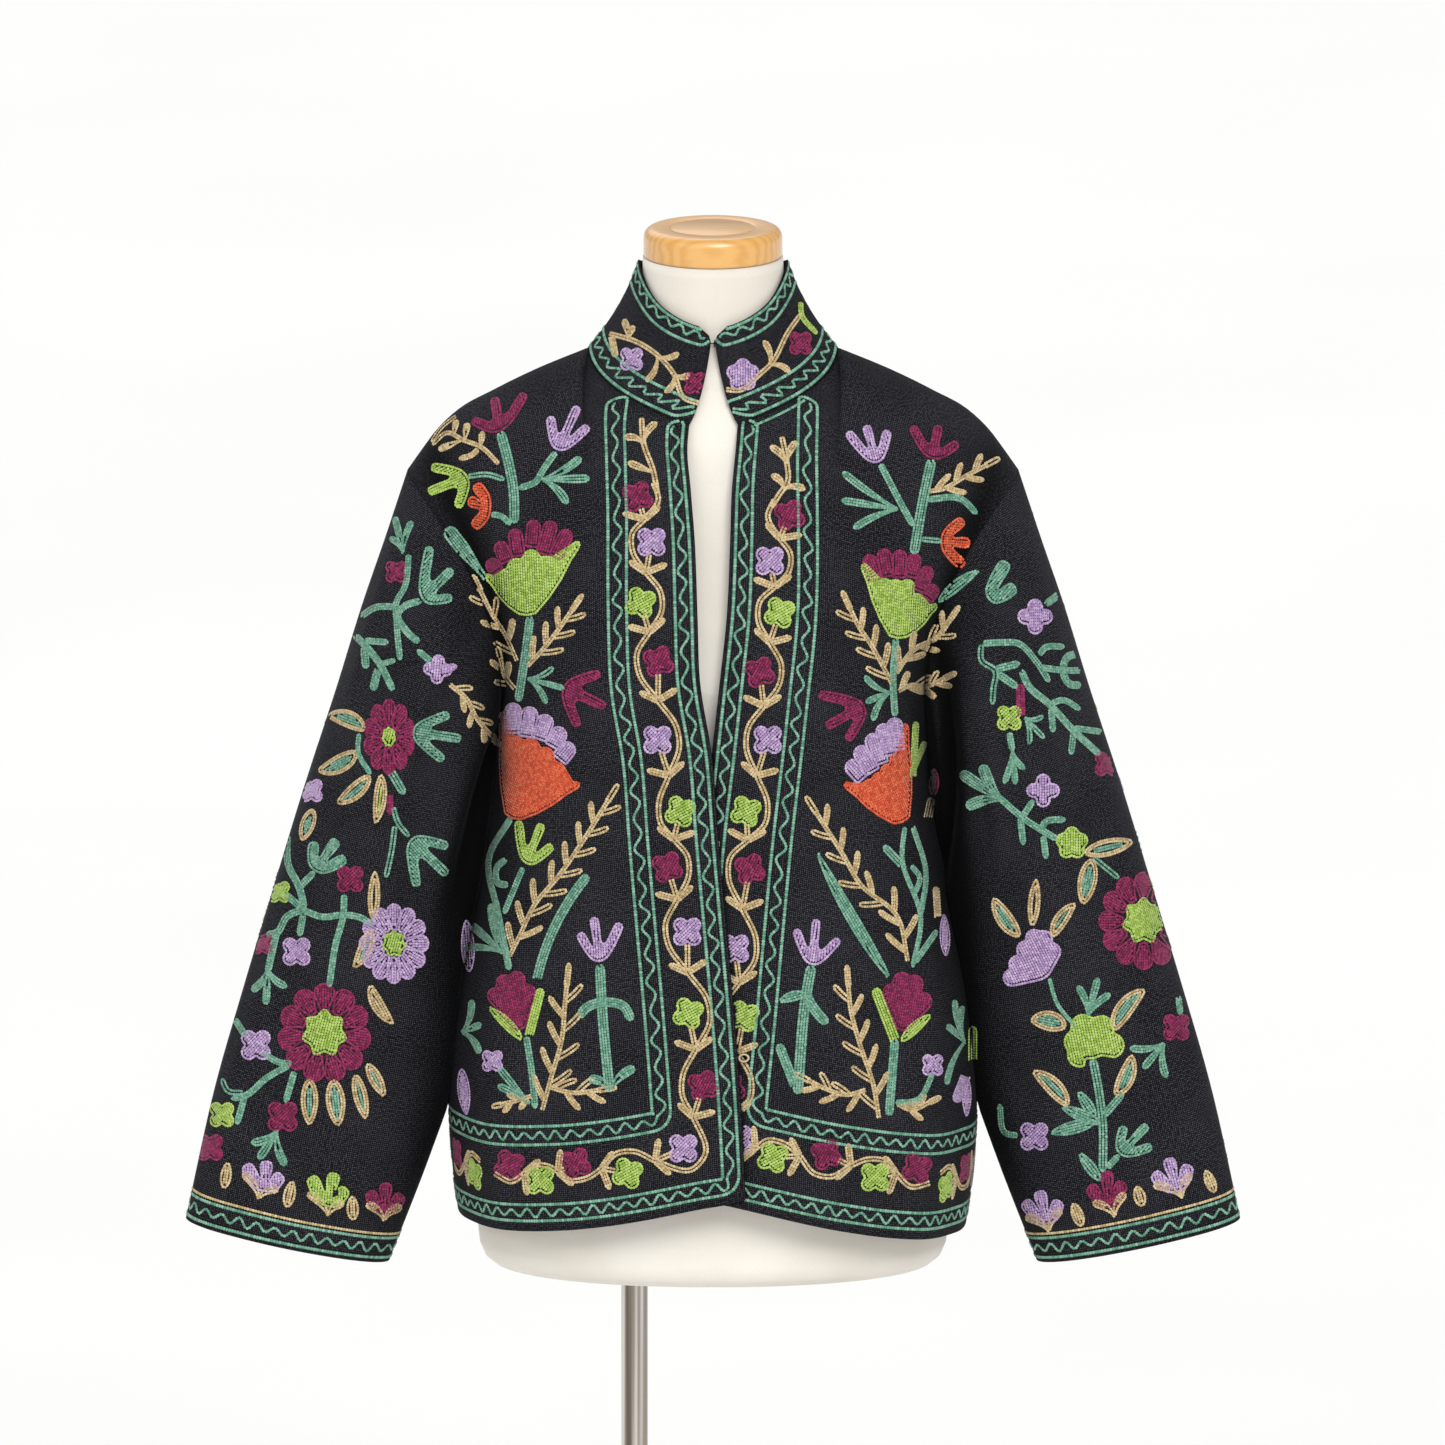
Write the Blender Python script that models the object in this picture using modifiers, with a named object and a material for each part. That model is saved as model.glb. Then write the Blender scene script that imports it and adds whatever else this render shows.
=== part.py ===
"""A stand-collar jacket on a limbless dress form, which stands on a pole and a round base.

Metres, +Z up. The origin is the middle of the base plate's underside. The jacket's front faces -Y,
so +X is the wearer's left. Every cloth piece is a wall of one thickness, built inwards from its
outer surface, and the surfaces of two pieces that are sewn together share the points of their seam.
"""

import math

import bmesh
import bpy
import numpy as np

COLLECTION = "jacket_on_dress_form"

# Cloth
WALL = 0.002
SEAM_GAP = 0.0003
STEEPEST_MITRE = 0.5
SHARP_DEGREES = 50

# Heights of the jacket's main points, and the half width of its neck and shoulders
NECK_HALF_WIDTH = 0.0935
SHOULDER_TIP = 1.325
SHOULDER_HALF_WIDTH = 0.229
UNDERARM = 1.12
UNDERARM_HALF_WIDTH = 0.165
EDGE_AT_UNDERARM = 1.15

# Horizontal sections of the body, which are half superellipses in front and behind
SQUARENESS = 2.4
BODY_COLUMNS = ("height", "half_width", "front", "back")
BODY = (
    (0.740, 0.1890, 0.143, 0.134),
    (0.800, 0.1965, 0.144, 0.137),
    (0.850, 0.1985, 0.144, 0.135),
    (0.900, 0.1965, 0.142, 0.130),
    (0.950, 0.1900, 0.140, 0.124),
    (1.000, 0.1810, 0.139, 0.120),
    (1.050, 0.1720, 0.139, 0.120),
    (1.120, 0.1650, 0.139, 0.124),
    (1.180, 0.1800, 0.137, 0.130),
    (1.240, 0.2050, 0.128, 0.131),
    (1.300, 0.2260, 0.114, 0.125),
    (1.350, 0.2380, 0.102, 0.114),
    (1.400, 0.2440, 0.092, 0.102),
    (1.460, 0.2450, 0.084, 0.092),
)

# The shoulder line, from the middle of the neck outwards, and how far down the body rounds off
SHOULDER_ROUND = 0.115
SHOULDER_COLUMNS = ("out", "height")
SHOULDER = (
    (0.0000, 1.458),
    (0.0935, 1.419),
    (0.1340, 1.402),
    (0.1640, 1.387),
    (0.1930, 1.370),
    (0.2070, 1.356),
    (0.2180, 1.341),
    (0.2290, 1.325),
)

# The front edges: how far each stands on its own side of the middle, so a negative one overlaps
EDGE_COLUMNS = ("height", "right_front", "left_front")
EDGES = (
    (0.780, -0.0250, -0.0300),
    (0.872, -0.0205, -0.0265),
    (0.940, -0.0155, -0.0200),
    (1.008, -0.0095, -0.0140),
    (1.077, -0.0035, -0.0075),
    (1.137, 0.0012, -0.0005),
    (1.192, 0.0100, 0.0055),
    (1.238, 0.0118, 0.0105),
    (1.296, 0.0140, 0.0132),
    (1.332, 0.0170, 0.0145),
    (1.361, 0.0195, 0.0175),
    (1.380, 0.0175, 0.0190),
)
LAP = 0.0016
LAP_STARTS = 1.185
LAP_FULL = 1.145
LAP_WIDTH = 0.065

# The hem: at the front edges, at the side seams, and at the middle of the back
HEM_EDGE = {"right": 0.797, "left": 0.801}
HEM_SIDE = {"right": 0.762, "left": 0.751}
HEM_BACK = 0.757
HEM_RISE = {"right": 3.2, "left": 2.4}

# The collar, by the angle from the neck point round to the middle of the front
NECK_FRONT = 0.078
NECK_BACK = 0.070
COLLAR_TOP_HALF_WIDTH = 0.0562
COLLAR_TOP_FRONT = 0.0605
COLLAR_TOP_BACK = 0.0580
COLLAR_HOLLOW = 0.0045
COLLAR_CORNER = 0.011
COLLAR_MEETS = 0.0006
COLLAR_EDGE_BEND = 0.8
COLLAR_COLUMNS = ("angle", "base", "top")
COLLAR_FRONT = (
    (0, 1.4190, 1.4860),
    (20, 1.4075, 1.4755),
    (40, 1.3965, 1.4620),
    (58, 1.3870, 1.4535),
    (75, 1.3780, 1.4475),
    (90, 1.3715, 1.4440),
)
COLLAR_BACK = (
    (0, 1.4190, 1.4860),
    (30, 1.4175, 1.4790),
    (60, 1.4150, 1.4730),
    (90, 1.4140, 1.4715),
)

# The armhole, a bowed oval from the shoulder tip to the underarm
ARMHOLE_BOW = 0.030
ARMHOLE_FRONT = 0.066
ARMHOLE_BACK = 0.070

# Sections of a sleeve, from the armhole to the cuff: its outer and inner sides, as distances from
# the middle and heights, how far it reaches forwards and back, and where its middle lies
SLEEVE_COLUMNS = (
    "along", "out_x", "out_z", "in_x", "in_z", "front", "back", "middle", "bow", "squareness",
)
SLEEVE = (
    (0.00, 0.2290, 1.325, 0.1650, 1.120, 0.066, 0.070, 0.000, 0.030, 2.0),
    (0.04, 0.2355, 1.305, 0.1705, 1.113, 0.071, 0.075, 0.000, 0.025, 2.0),
    (0.10, 0.2455, 1.274, 0.1700, 1.093, 0.081, 0.082, 0.000, 0.017, 2.1),
    (0.20, 0.2630, 1.222, 0.1670, 1.062, 0.084, 0.084, 0.000, 0.008, 2.2),
    (0.32, 0.2828, 1.157, 0.1660, 1.026, 0.079, 0.080, -0.001, 0.002, 2.3),
    (0.45, 0.3075, 1.080, 0.1720, 0.982, 0.071, 0.072, -0.002, 0.000, 2.4),
    (0.58, 0.3307, 1.003, 0.1810, 0.935, 0.062, 0.063, -0.004, 0.000, 2.4),
    (0.71, 0.3533, 0.927, 0.1890, 0.874, 0.054, 0.055, -0.006, 0.000, 2.4),
    (0.85, 0.3750, 0.850, 0.2110, 0.806, 0.047, 0.047, -0.008, 0.000, 2.3),
    (1.00, 0.3960, 0.754, 0.2430, 0.722, 0.039, 0.039, -0.010, 0.000, 2.2),
)
# Where a sleeve lies against the body it is pressed flat, this far from it
SLEEVE_CLEAR = 0.0012
SLEEVE_PRESS = (1.112, 1.090)

# The largest folds of the cloth. A sleeve's run down it, at an angle round from its outer side
# towards the front. A body's run up it, at a share of the way from the front edge to the side seam.
FOLD_COLUMNS = ("from_along", "to_along", "from_place", "to_place", "height", "width")
FOLD_END_POWER = 0.7
FOLD_SIDE_POWER = 0.5
FOLD_TOP_POWER = 6
SLEEVE_FOLDS = {
    "right": (
        (-0.10, 0.75, 52, 66, 0.0055, 11),
        (0.15, 0.80, 96, 104, -0.0040, 16),
        (0.35, 1.05, 40, 62, -0.0028, 15),
        (0.00, 0.70, 300, 292, 0.0050, 13),
        (0.20, 0.95, 262, 250, -0.0040, 17),
    ),
    "left": (
        (-0.10, 0.62, 58, 70, 0.0060, 11),
        (0.18, 0.85, 102, 112, -0.0045, 17),
        (0.45, 1.05, 46, 60, -0.0022, 16),
        (0.05, 0.80, 304, 290, 0.0045, 14),
        (0.30, 1.00, 256, 262, -0.0035, 18),
    ),
}
BODY_FOLDS = {
    ("front", "right"): (
        (-0.10, 0.62, 0.78, 0.86, -0.0050, 0.070),
        (-0.10, 0.45, 0.60, 0.66, 0.0032, 0.075),
    ),
    ("front", "left"): (
        (-0.10, 0.66, 0.76, 0.84, -0.0060, 0.065),
        (-0.10, 0.50, 0.60, 0.68, 0.0036, 0.075),
    ),
    ("back", "right"): (
        (-0.10, 0.70, 0.62, 0.74, -0.0060, 0.090),
        (-0.10, 0.60, 0.36, 0.44, 0.0045, 0.090),
    ),
    ("back", "left"): (
        (-0.10, 0.64, 0.66, 0.76, -0.0055, 0.085),
        (-0.10, 0.66, 0.34, 0.40, 0.0050, 0.095),
    ),
}

# Mesh density
LOW_ROWS = 10
ARMHOLE_ROWS = 12
NECK_STEPS = 5
SHOULDER_STEPS = 7
SLEEVE_STEPS = 16
SLEEVE_STEP_GROWTH = 1.25
COLLAR_ROWS = 4
EDGE_ANGLE_TRIES = 12

# The dress form, by height: half width, and how far it reaches forwards and back
FORM_SIDES = 40
FORM_COLUMNS = ("height", "half_width", "front", "back", "squareness")
FORM = (
    (0.7190, 0.1570, 0.0950, 0.0980, 2.15),
    (0.7208, 0.1650, 0.1030, 0.1060, 2.15),
    (0.7262, 0.1715, 0.1095, 0.1125, 2.15),
    (0.7350, 0.1753, 0.1133, 0.1165, 2.15),
    (0.7500, 0.1768, 0.1148, 0.1185, 2.15),
    (0.8000, 0.1770, 0.1155, 0.1210, 2.15),
    (0.8600, 0.1700, 0.1130, 0.1190, 2.15),
    (0.9300, 0.1470, 0.1050, 0.1060, 2.15),
    (1.0100, 0.1280, 0.0990, 0.0940, 2.15),
    (1.0700, 0.1330, 0.1060, 0.0960, 2.15),
    (1.1300, 0.1440, 0.1190, 0.1020, 2.15),
    (1.1800, 0.1490, 0.1225, 0.1080, 2.20),
    (1.2300, 0.1540, 0.1150, 0.1110, 2.20),
    (1.2800, 0.1640, 0.1020, 0.1090, 2.20),
    (1.3150, 0.1730, 0.0920, 0.1020, 2.15),
    (1.3400, 0.1770, 0.0850, 0.0950, 2.00),
    (1.3560, 0.1740, 0.0800, 0.0880, 1.85),
)
# Above that the form's shoulders follow the jacket's shoulder line from inside, up to its neck
FORM_REST_GAP = 0.0013
SHOULDER_SAMPLES = 400
FORM_SHOULDERS = (
    (1.3670, 0.0760, 0.0830, 1.70),
    (1.3780, 0.0715, 0.0780, 1.58),
    (1.3890, 0.0660, 0.0720, 1.45),
    (1.3990, 0.0620, 0.0680, 1.32),
)
FORM_NECK = (
    (1.4080, 0.0820, 0.0600, 0.0645, 1.60),
    (1.4160, 0.0710, 0.0570, 0.0620, 1.80),
    (1.4260, 0.0640, 0.0545, 0.0595, 1.92),
    (1.4400, 0.0575, 0.0530, 0.0560, 2.00),
    (1.4580, 0.0540, 0.0526, 0.0535, 2.00),
    (1.4887, 0.0525, 0.0525, 0.0525, 2.00),
)

# The neck cap, a turned disc with a shallow ring in its top
CAP_RADIUS = 0.0520
CAP_HEIGHT = 0.0220
CAP_EDGE = 0.0075
CAP_UNDER_EDGE = 0.0025
CAP_SIDES = 40
CAP_RING_RADIUS = 0.0315
CAP_RING_DEPTH = 0.0006
CAP_RING_WIDTH = 0.0012

# The stand
POLE_X = -0.059
POLE_RADIUS = 0.010
POLE_SIDES = 28
BASE_RADIUS = 0.190
BASE_HEIGHT = 0.008
BASE_BEVEL = 0.0020
BASE_SIDES = 56
FOOT_RADIUS = 0.024
FOOT_SHOULDER = 0.0066
FOOT_TOP_RADIUS = 0.018
FOOT_HEIGHT = 0.022
FLANGE_RADIUS = 0.036
FLANGE_THICKNESS = 0.004
FLANGE_NECK_RADIUS = 0.015
FLANGE_HEIGHT = 0.008

# The hook and eye inside the front of the collar, of bent wire
WIRE_RADIUS = 0.00045
WIRE_CLEAR = 0.0007
WIRE_BEVEL_STEPS = 2
HOOK_HEIGHT = 1.4335
HOOK_ROOT = -0.0065
EYE_ROOT = 0.0085
EYE_BAR = 0.0012
EYE_HALF_HEIGHT = 0.0026
WIRE_CORNER_STEPS = 4

# The thread eye at the edge of the right front, which lies on the left front
LOOP_HEIGHT = 0.905
LOOP_RADIUS = 0.0028
LOOP_WIDENED = 1.25
THREAD_RADIUS = 0.0007
LOOP_SIDES = (20, 8)

TONES = {
    "wool": ((0.012, 0.012, 0.014), 0.9, 0.0),
    "jersey": ((0.86, 0.84, 0.80), 0.85, 0.0),
    "wood": ((0.80, 0.52, 0.22), 0.35, 0.0),
    "chrome": ((0.62, 0.62, 0.63), 0.15, 1.0),
    "black_metal": ((0.02, 0.02, 0.02), 0.4, 0.8),
    "cream": ((0.74, 0.68, 0.52), 0.6, 0.0),
}


# Tables and curves


def column(table, names, name):
    """One column of a table."""
    return np.array([row[names.index(name)] for row in table], float)


def through(places, values, at):
    """A smooth curve through a table's points, read at one place or many."""
    at = np.clip(np.asarray(at, float), places[0], places[-1])
    slope = np.gradient(values, places)
    i = np.clip(np.searchsorted(places, at, side="right") - 1, 0, len(places) - 2)
    step = places[i + 1] - places[i]
    s = (at - places[i]) / step
    start = values[i] * (1 + 2 * s) * (1 - s) ** 2 + slope[i] * step * s * (1 - s) ** 2
    end = values[i + 1] * s * s * (3 - 2 * s) + slope[i + 1] * step * s * s * (s - 1)
    return start + end


def read(table, names, name, at):
    """A named column of a table as a smooth curve over its first column."""
    return through(column(table, names, names[0]), column(table, names, name), at)


def ease(start, end, at):
    """0 before the start, 1 after the end, smooth between."""
    s = np.clip((np.asarray(at, float) - start) / (end - start), 0, 1)
    return s * s * (3 - 2 * s)


def fold_relief(folds, along, place):
    """The height of a table of folds, each a soft ridge or trough that fades at both ends."""
    height = np.zeros(np.broadcast(along, place).shape)
    for row in folds:
        fold = dict(zip(FOLD_COLUMNS, row))
        share = np.clip(
            (along - fold["from_along"]) / (fold["to_along"] - fold["from_along"]), 0, 1
        )
        line = fold["from_place"] + (fold["to_place"] - fold["from_place"]) * share
        fade = np.sin(np.pi * share) ** FOLD_END_POWER
        height = height + fold["height"] * fade * np.exp(-(((place - line) / fold["width"]) ** 2))
    return height


# The jacket's body


def body_depth(x, z, face):
    """How far the body reaches forwards or back at a distance from the middle and a height."""
    half_width = read(BODY, BODY_COLUMNS, "half_width", z)
    ratio = np.clip(np.abs(x) / half_width, 0, 1)
    section = (1 - ratio**SQUARENESS) ** (1 / SQUARENESS)
    shoulder = read(SHOULDER, SHOULDER_COLUMNS, "height", np.abs(x))
    below = np.clip((shoulder - z) / SHOULDER_ROUND, 0, 1)
    return read(BODY, BODY_COLUMNS, face, z) * section * np.sqrt(1 - (1 - below) ** 2)


def front_edge(side, z):
    return read(EDGES, EDGE_COLUMNS, f"{side}_front", z)


def neck_ring(face, angle, level):
    """A point of the collar's base (level 0) to top (level 1), by degrees round from the neck point."""
    table = COLLAR_FRONT if face == "front" else COLLAR_BACK
    turn = np.radians(angle)
    base_depth = NECK_FRONT if face == "front" else NECK_BACK
    top_depth = COLLAR_TOP_FRONT if face == "front" else COLLAR_TOP_BACK
    sign = -1 if face == "front" else 1
    half_width = NECK_HALF_WIDTH + (COLLAR_TOP_HALF_WIDTH - NECK_HALF_WIDTH) * level
    depth = base_depth + (top_depth - base_depth) * level
    hollow = COLLAR_HOLLOW * 4 * level * (1 - level)
    base = read(table, COLLAR_COLUMNS, "base", angle)
    top = read(table, COLLAR_COLUMNS, "top", angle)
    return np.stack(
        [
            (half_width - hollow) * np.cos(turn),
            sign * (depth - hollow) * np.sin(turn),
            base + (top - base) * level,
        ],
        axis=-1,
    )


def edge_angle(side):
    """Where the front edge meets the neck, in degrees round from the neck point."""
    angle = 80.0
    for _ in range(EDGE_ANGLE_TRIES):
        height = read(COLLAR_FRONT, COLLAR_COLUMNS, "base", angle)
        angle = math.degrees(math.acos(float(front_edge(side, height)) / NECK_HALF_WIDTH))
    return angle


def armhole(face, angle):
    """A point of the armhole, by degrees round from the shoulder tip to the underarm."""
    turn = np.radians(angle)
    depth = -ARMHOLE_FRONT if face == "front" else ARMHOLE_BACK
    middle_x = (SHOULDER_HALF_WIDTH + UNDERARM_HALF_WIDTH) / 2
    middle_z = (SHOULDER_TIP + UNDERARM) / 2
    x = middle_x + (SHOULDER_HALF_WIDTH - middle_x) * np.cos(turn)
    z = middle_z + (SHOULDER_TIP - middle_z) * np.cos(turn)
    return np.stack([x - ARMHOLE_BOW * np.sin(turn) ** 2, depth * np.sin(turn), z], axis=-1)


def top_line(face, side, steps_neck, steps_shoulder):
    """The neckline from the edge or the middle of the back, and the shoulder seam after it."""
    start = edge_angle(side) if face == "front" else 90
    neck = neck_ring(face, np.linspace(start, 0, steps_neck + 1), 0.0)
    out = np.linspace(NECK_HALF_WIDTH, SHOULDER_HALF_WIDTH, steps_shoulder + 1)[1:]
    height = read(SHOULDER, SHOULDER_COLUMNS, "height", out)
    seam = np.stack([out, np.zeros_like(out), height], axis=-1)
    return np.concatenate([neck, seam])


def section_x(inner, z, share):
    """Distances from the middle, spread evenly along a section from its inner end to its side."""
    half_width = read(BODY, BODY_COLUMNS, "half_width", z)
    power = 2 / SQUARENESS
    start = np.sign(inner) * np.arcsin(np.clip(np.abs(inner) / half_width, 0, 1) ** (1 / power))
    turn = start + (np.pi / 2 - start) * share
    return half_width * np.sign(turn) * np.abs(np.sin(turn)) ** power


def hem_height(face, side, share):
    if face == "front":
        return HEM_SIDE[side] + (HEM_EDGE[side] - HEM_SIDE[side]) * (1 - share) ** HEM_RISE[side]
    return HEM_SIDE[side] + (HEM_BACK - HEM_SIDE[side]) * (1 - share) ** 2


def low_part(face, side, share, rows):
    """The body from its hem to the underarm, as rows of points from the inner end to the side."""
    points = []
    for up in np.linspace(0, 1, rows + 1):
        level = EDGE_AT_UNDERARM + (UNDERARM - EDGE_AT_UNDERARM) * share
        z = hem_height(face, side, share) * (1 - up) + level * up
        inner = front_edge(side, z) if face == "front" else np.zeros_like(z)
        x = section_x(inner, z, share)
        points.append(np.stack([x, body_depth(x, z, face), z], axis=-1))
    return np.array(points)


def patch(bottom, top, inner, outer):
    """A patch between four boundary curves, bilinear across."""
    across = np.linspace(0, 1, len(bottom))[None, :, None]
    up = np.linspace(0, 1, len(inner))[:, None, None]
    between_rows = bottom[None] * (1 - up) + top[None] * up
    between_columns = inner[:, None] * (1 - across) + outer[:, None] * across
    corners = (bottom[0] * (1 - across) + bottom[-1] * across) * (1 - up)
    corners = corners + (top[0] * (1 - across) + top[-1] * across) * up
    return between_rows + between_columns - corners


def high_part(face, side, bottom, rows):
    """The body from the underarm to the neck and shoulder, between the edge and the armhole."""
    sign = -1 if face == "front" else 1
    top = top_line(face, side, NECK_STEPS, SHOULDER_STEPS)
    height = np.linspace(bottom[0, 2], top[0, 2], rows + 1)
    inner_x = front_edge(side, height) if face == "front" else np.zeros_like(height)
    inner = np.stack([inner_x, height * 0, height], axis=-1)
    outer = armhole(face, np.linspace(180, 0, rows + 1))
    places = patch(bottom, top, inner, outer)
    depth = body_depth(places[..., 0], places[..., 2], face)

    # The body's own depth, drawn to the neck, the shoulder seam and the armhole at its borders
    top_miss = sign * top[:, 1] - depth[-1]
    outer_miss = sign * outer[:, 1] - depth[:, -1]
    zero = np.zeros(len(bottom))
    inner_miss = top_miss[0] * np.linspace(0, 1, rows + 1) ** 3
    miss = patch(zero[:, None], top_miss[:, None], inner_miss[:, None], outer_miss[:, None])
    across = np.linspace(0, 1, len(bottom))[None, :]
    up = np.linspace(0, 1, rows + 1)[:, None]
    near = np.maximum(across**2, up**2)
    depth = depth + miss[..., 0] * near
    return np.stack([places[..., 0], depth, places[..., 2]], axis=-1)


def lap(side, points):
    """How far a front moves forwards or back where the two fronts lie on each other."""
    distance = points[..., 0] - points[:, :1, 0]
    fade = 1 - ease(LAP_WIDTH, 2 * LAP_WIDTH, distance)
    forwards = 1 if side == "right" else -1
    return forwards * LAP * fade * ease(LAP_STARTS, LAP_FULL, points[..., 2])


def body_half(face, side):
    """Half of the body, as rows of points from the hem up, each from the inner end outwards."""
    share = np.linspace(0, 1, NECK_STEPS + SHOULDER_STEPS + 1)
    low = low_part(face, side, share, LOW_ROWS)
    high = high_part(face, side, low[-1], ARMHOLE_ROWS)
    points = np.concatenate([low, high[1:]])
    if face == "front":
        points[..., 1] += lap(side, points)
    rows = np.linspace(0, 1, len(points))[:, None]
    relief = fold_relief(BODY_FOLDS[face, side], rows, share[None, :])
    side_fade = np.sin(np.pi * share) ** FOLD_SIDE_POWER
    points[..., 1] += relief * side_fade * (1 - rows**FOLD_TOP_POWER)
    points[..., 1] *= -1 if face == "front" else 1
    points[..., 0] *= -1 if side == "right" else 1
    return points


# Sleeves and collar


def body_side(y, z):
    """How far the body reaches sideways at a depth and a height."""
    depth = np.where(y < 0, read(BODY, BODY_COLUMNS, "front", z), read(BODY, BODY_COLUMNS, "back", z))
    ratio = np.clip(np.abs(y) / depth, 0, 1)
    half_width = read(BODY, BODY_COLUMNS, "half_width", z)
    return half_width * (1 - ratio**SQUARENESS) ** (1 / SQUARENESS)


def sleeve(side):
    """Rings of points from the armhole to the cuff, each from its outer side round by the front."""
    along = np.linspace(0, 1, SLEEVE_STEPS + 1)[:, None] ** SLEEVE_STEP_GROWTH
    front = np.linspace(0, 180, ARMHOLE_ROWS + 1)
    angle = np.concatenate([front, 360 - front[-2::-1]])[None, :]
    turn = np.radians(angle)
    size = {name: read(SLEEVE, SLEEVE_COLUMNS, name, along) for name in SLEEVE_COLUMNS[1:]}
    power = 2 / size["squareness"]
    out = np.sign(np.cos(turn)) * np.abs(np.cos(turn)) ** power
    over = np.sign(np.sin(turn)) * np.abs(np.sin(turn)) ** power
    reach = np.where(over > 0, size["front"], size["back"])
    middle_x = (size["out_x"] + size["in_x"]) / 2
    middle_z = (size["out_z"] + size["in_z"]) / 2
    half_x = (size["out_x"] - size["in_x"]) / 2
    half_z = (size["out_z"] - size["in_z"]) / 2
    half = np.hypot(half_x, half_z)
    relief = fold_relief(SLEEVE_FOLDS[side], along, angle) * ease(0, 0.12, along)
    x = middle_x + half_x * out * (1 + relief / half) - size["bow"] * over**2
    y = size["middle"] - (reach + relief) * over
    z = middle_z + half_z * out * (1 + relief / half)
    pressed = np.maximum(x, body_side(y, z) + SLEEVE_CLEAR)
    x = x + (pressed - x) * ease(*SLEEVE_PRESS, z)
    return np.stack([x * (-1 if side == "right" else 1), y, z], axis=-1)


def collar():
    """Rows of points from the collar's base to its top, from the right front edge round the back."""
    back = np.linspace(0, 90, NECK_STEPS + 1)
    rows = []
    for level in np.linspace(0, 1, COLLAR_ROWS + 1):
        row = []
        for side, sign in (("right", -1), ("left", 1)):
            edge = edge_angle(side)
            meets = math.degrees(math.acos(COLLAR_MEETS / COLLAR_TOP_HALF_WIDTH))
            end = edge + (meets - edge) * level**COLLAR_EDGE_BEND
            front_ring = neck_ring("front", np.linspace(end, 0, NECK_STEPS + 1), level)
            back_ring = neck_ring("back", back, level)
            half = np.concatenate([front_ring, back_ring[1:]]) * np.array([sign, 1, 1])
            row.append(half)
        rows.append(np.concatenate([row[0], row[1][-2::-1]]))
    points = np.array(rows)
    corner = COLLAR_CORNER * (1 - math.cos(math.pi / 4))
    for end in (0, -1):
        points[-1, end, 2] -= corner
    return points


# Walls


def normals(points, flip):
    """The outward direction at each point of a grid of rows."""
    normal = unit(np.cross(np.gradient(points, axis=1), np.gradient(points, axis=0)))
    return -normal if flip else normal


def unit(vectors):
    return vectors / np.linalg.norm(vectors, axis=-1, keepdims=True)


def shared_normals(grids, outward):
    """Each grid's outward directions, made one where pieces share a point of a seam.

    The fronts and the backs count as one at a seam with a sleeve or the collar.
    """
    met = {}
    for name, points in grids.items():
        kind = name.split("_")[0] if name.startswith(("sleeve", "collar")) else "body"
        for key, normal in zip(point_keys(points), outward[name].reshape(-1, 3)):
            kinds = met.setdefault(key, {})
            kinds[kind] = kinds.get(kind, 0) + normal
    shared = {}
    for name, points in grids.items():
        made = [sum(unit(normal) for normal in met[key].values()) for key in point_keys(points)]
        shared[name] = unit(np.array(made)).reshape(points.shape)
    return shared


def point_keys(points):
    return [tuple(key) for key in np.round(points.reshape(-1, 3) * 1e5).astype(int)]


def draw_back(points, normal, seams):
    """A grid with its sewn borders moved back from their seams by half of the gap."""
    drawn = points.copy()
    for seam in seams:
        border, inside = {
            "first_row": (np.s_[0], np.s_[1]),
            "last_row": (np.s_[-1], np.s_[-2]),
            "first_column": (np.s_[:, 0], np.s_[:, 1]),
            "last_column": (np.s_[:, -1], np.s_[:, -2]),
        }[seam]
        across = unit(np.cross(np.gradient(points[border], axis=0), normal[border]))
        inwards = np.sum(across * (points[inside] - points[border]), axis=-1, keepdims=True)
        drawn[border] += SEAM_GAP / 2 * np.sign(inwards) * across
    return drawn


def mitre(own, shared):
    """Directions that keep a wall's thickness where it meets its neighbour at an angle."""
    along = np.sum(own * shared, axis=-1, keepdims=True)
    return shared / np.maximum(along, STEEPEST_MITRE)


def wall(name, points, normal, material, flip=False, closed=False):
    """A closed wall of one thickness, inwards from a grid of points. A closed grid is a tube."""
    if closed:
        points, normal = points[:, :-1], normal[:, :-1]
    rows, columns = points.shape[:2]
    mesh = bmesh.new()
    layers = []
    for depth in (0, WALL):
        made = (points - depth * normal).reshape(-1, 3)
        layers.append([mesh.verts.new(place) for place in made])

    def vertex(layer, row, place):
        return layers[layer][row * columns + place % columns]

    def face(*corners):
        mesh.faces.new(corners[:1] + corners[:0:-1] if flip else corners)

    def rim(a, b, c, d):
        """A face between the outer edge a-b and the inner one c-d, split from its lower corner."""
        face(*((a, b, c, d) if a.co.z < b.co.z else (b, c, d, a)))

    steps = columns if closed else columns - 1
    last = rows - 1
    for i in range(steps):
        for row in range(last):
            face(
                vertex(0, row, i), vertex(0, row, i + 1), vertex(0, row + 1, i + 1),
                vertex(0, row + 1, i),
            )
            face(
                vertex(1, row, i), vertex(1, row + 1, i), vertex(1, row + 1, i + 1),
                vertex(1, row, i + 1),
            )
        rim(vertex(0, 0, i + 1), vertex(0, 0, i), vertex(1, 0, i), vertex(1, 0, i + 1))
        rim(
            vertex(0, last, i), vertex(0, last, i + 1), vertex(1, last, i + 1), vertex(1, last, i)
        )
    if not closed:
        end = columns - 1
        for row in range(last):
            rim(vertex(0, row, 0), vertex(0, row + 1, 0), vertex(1, row + 1, 0), vertex(1, row, 0))
            rim(
                vertex(0, row + 1, end), vertex(0, row, end), vertex(1, row, end),
                vertex(1, row + 1, end),
            )
    return add_mesh(name, mesh, material)


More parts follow.
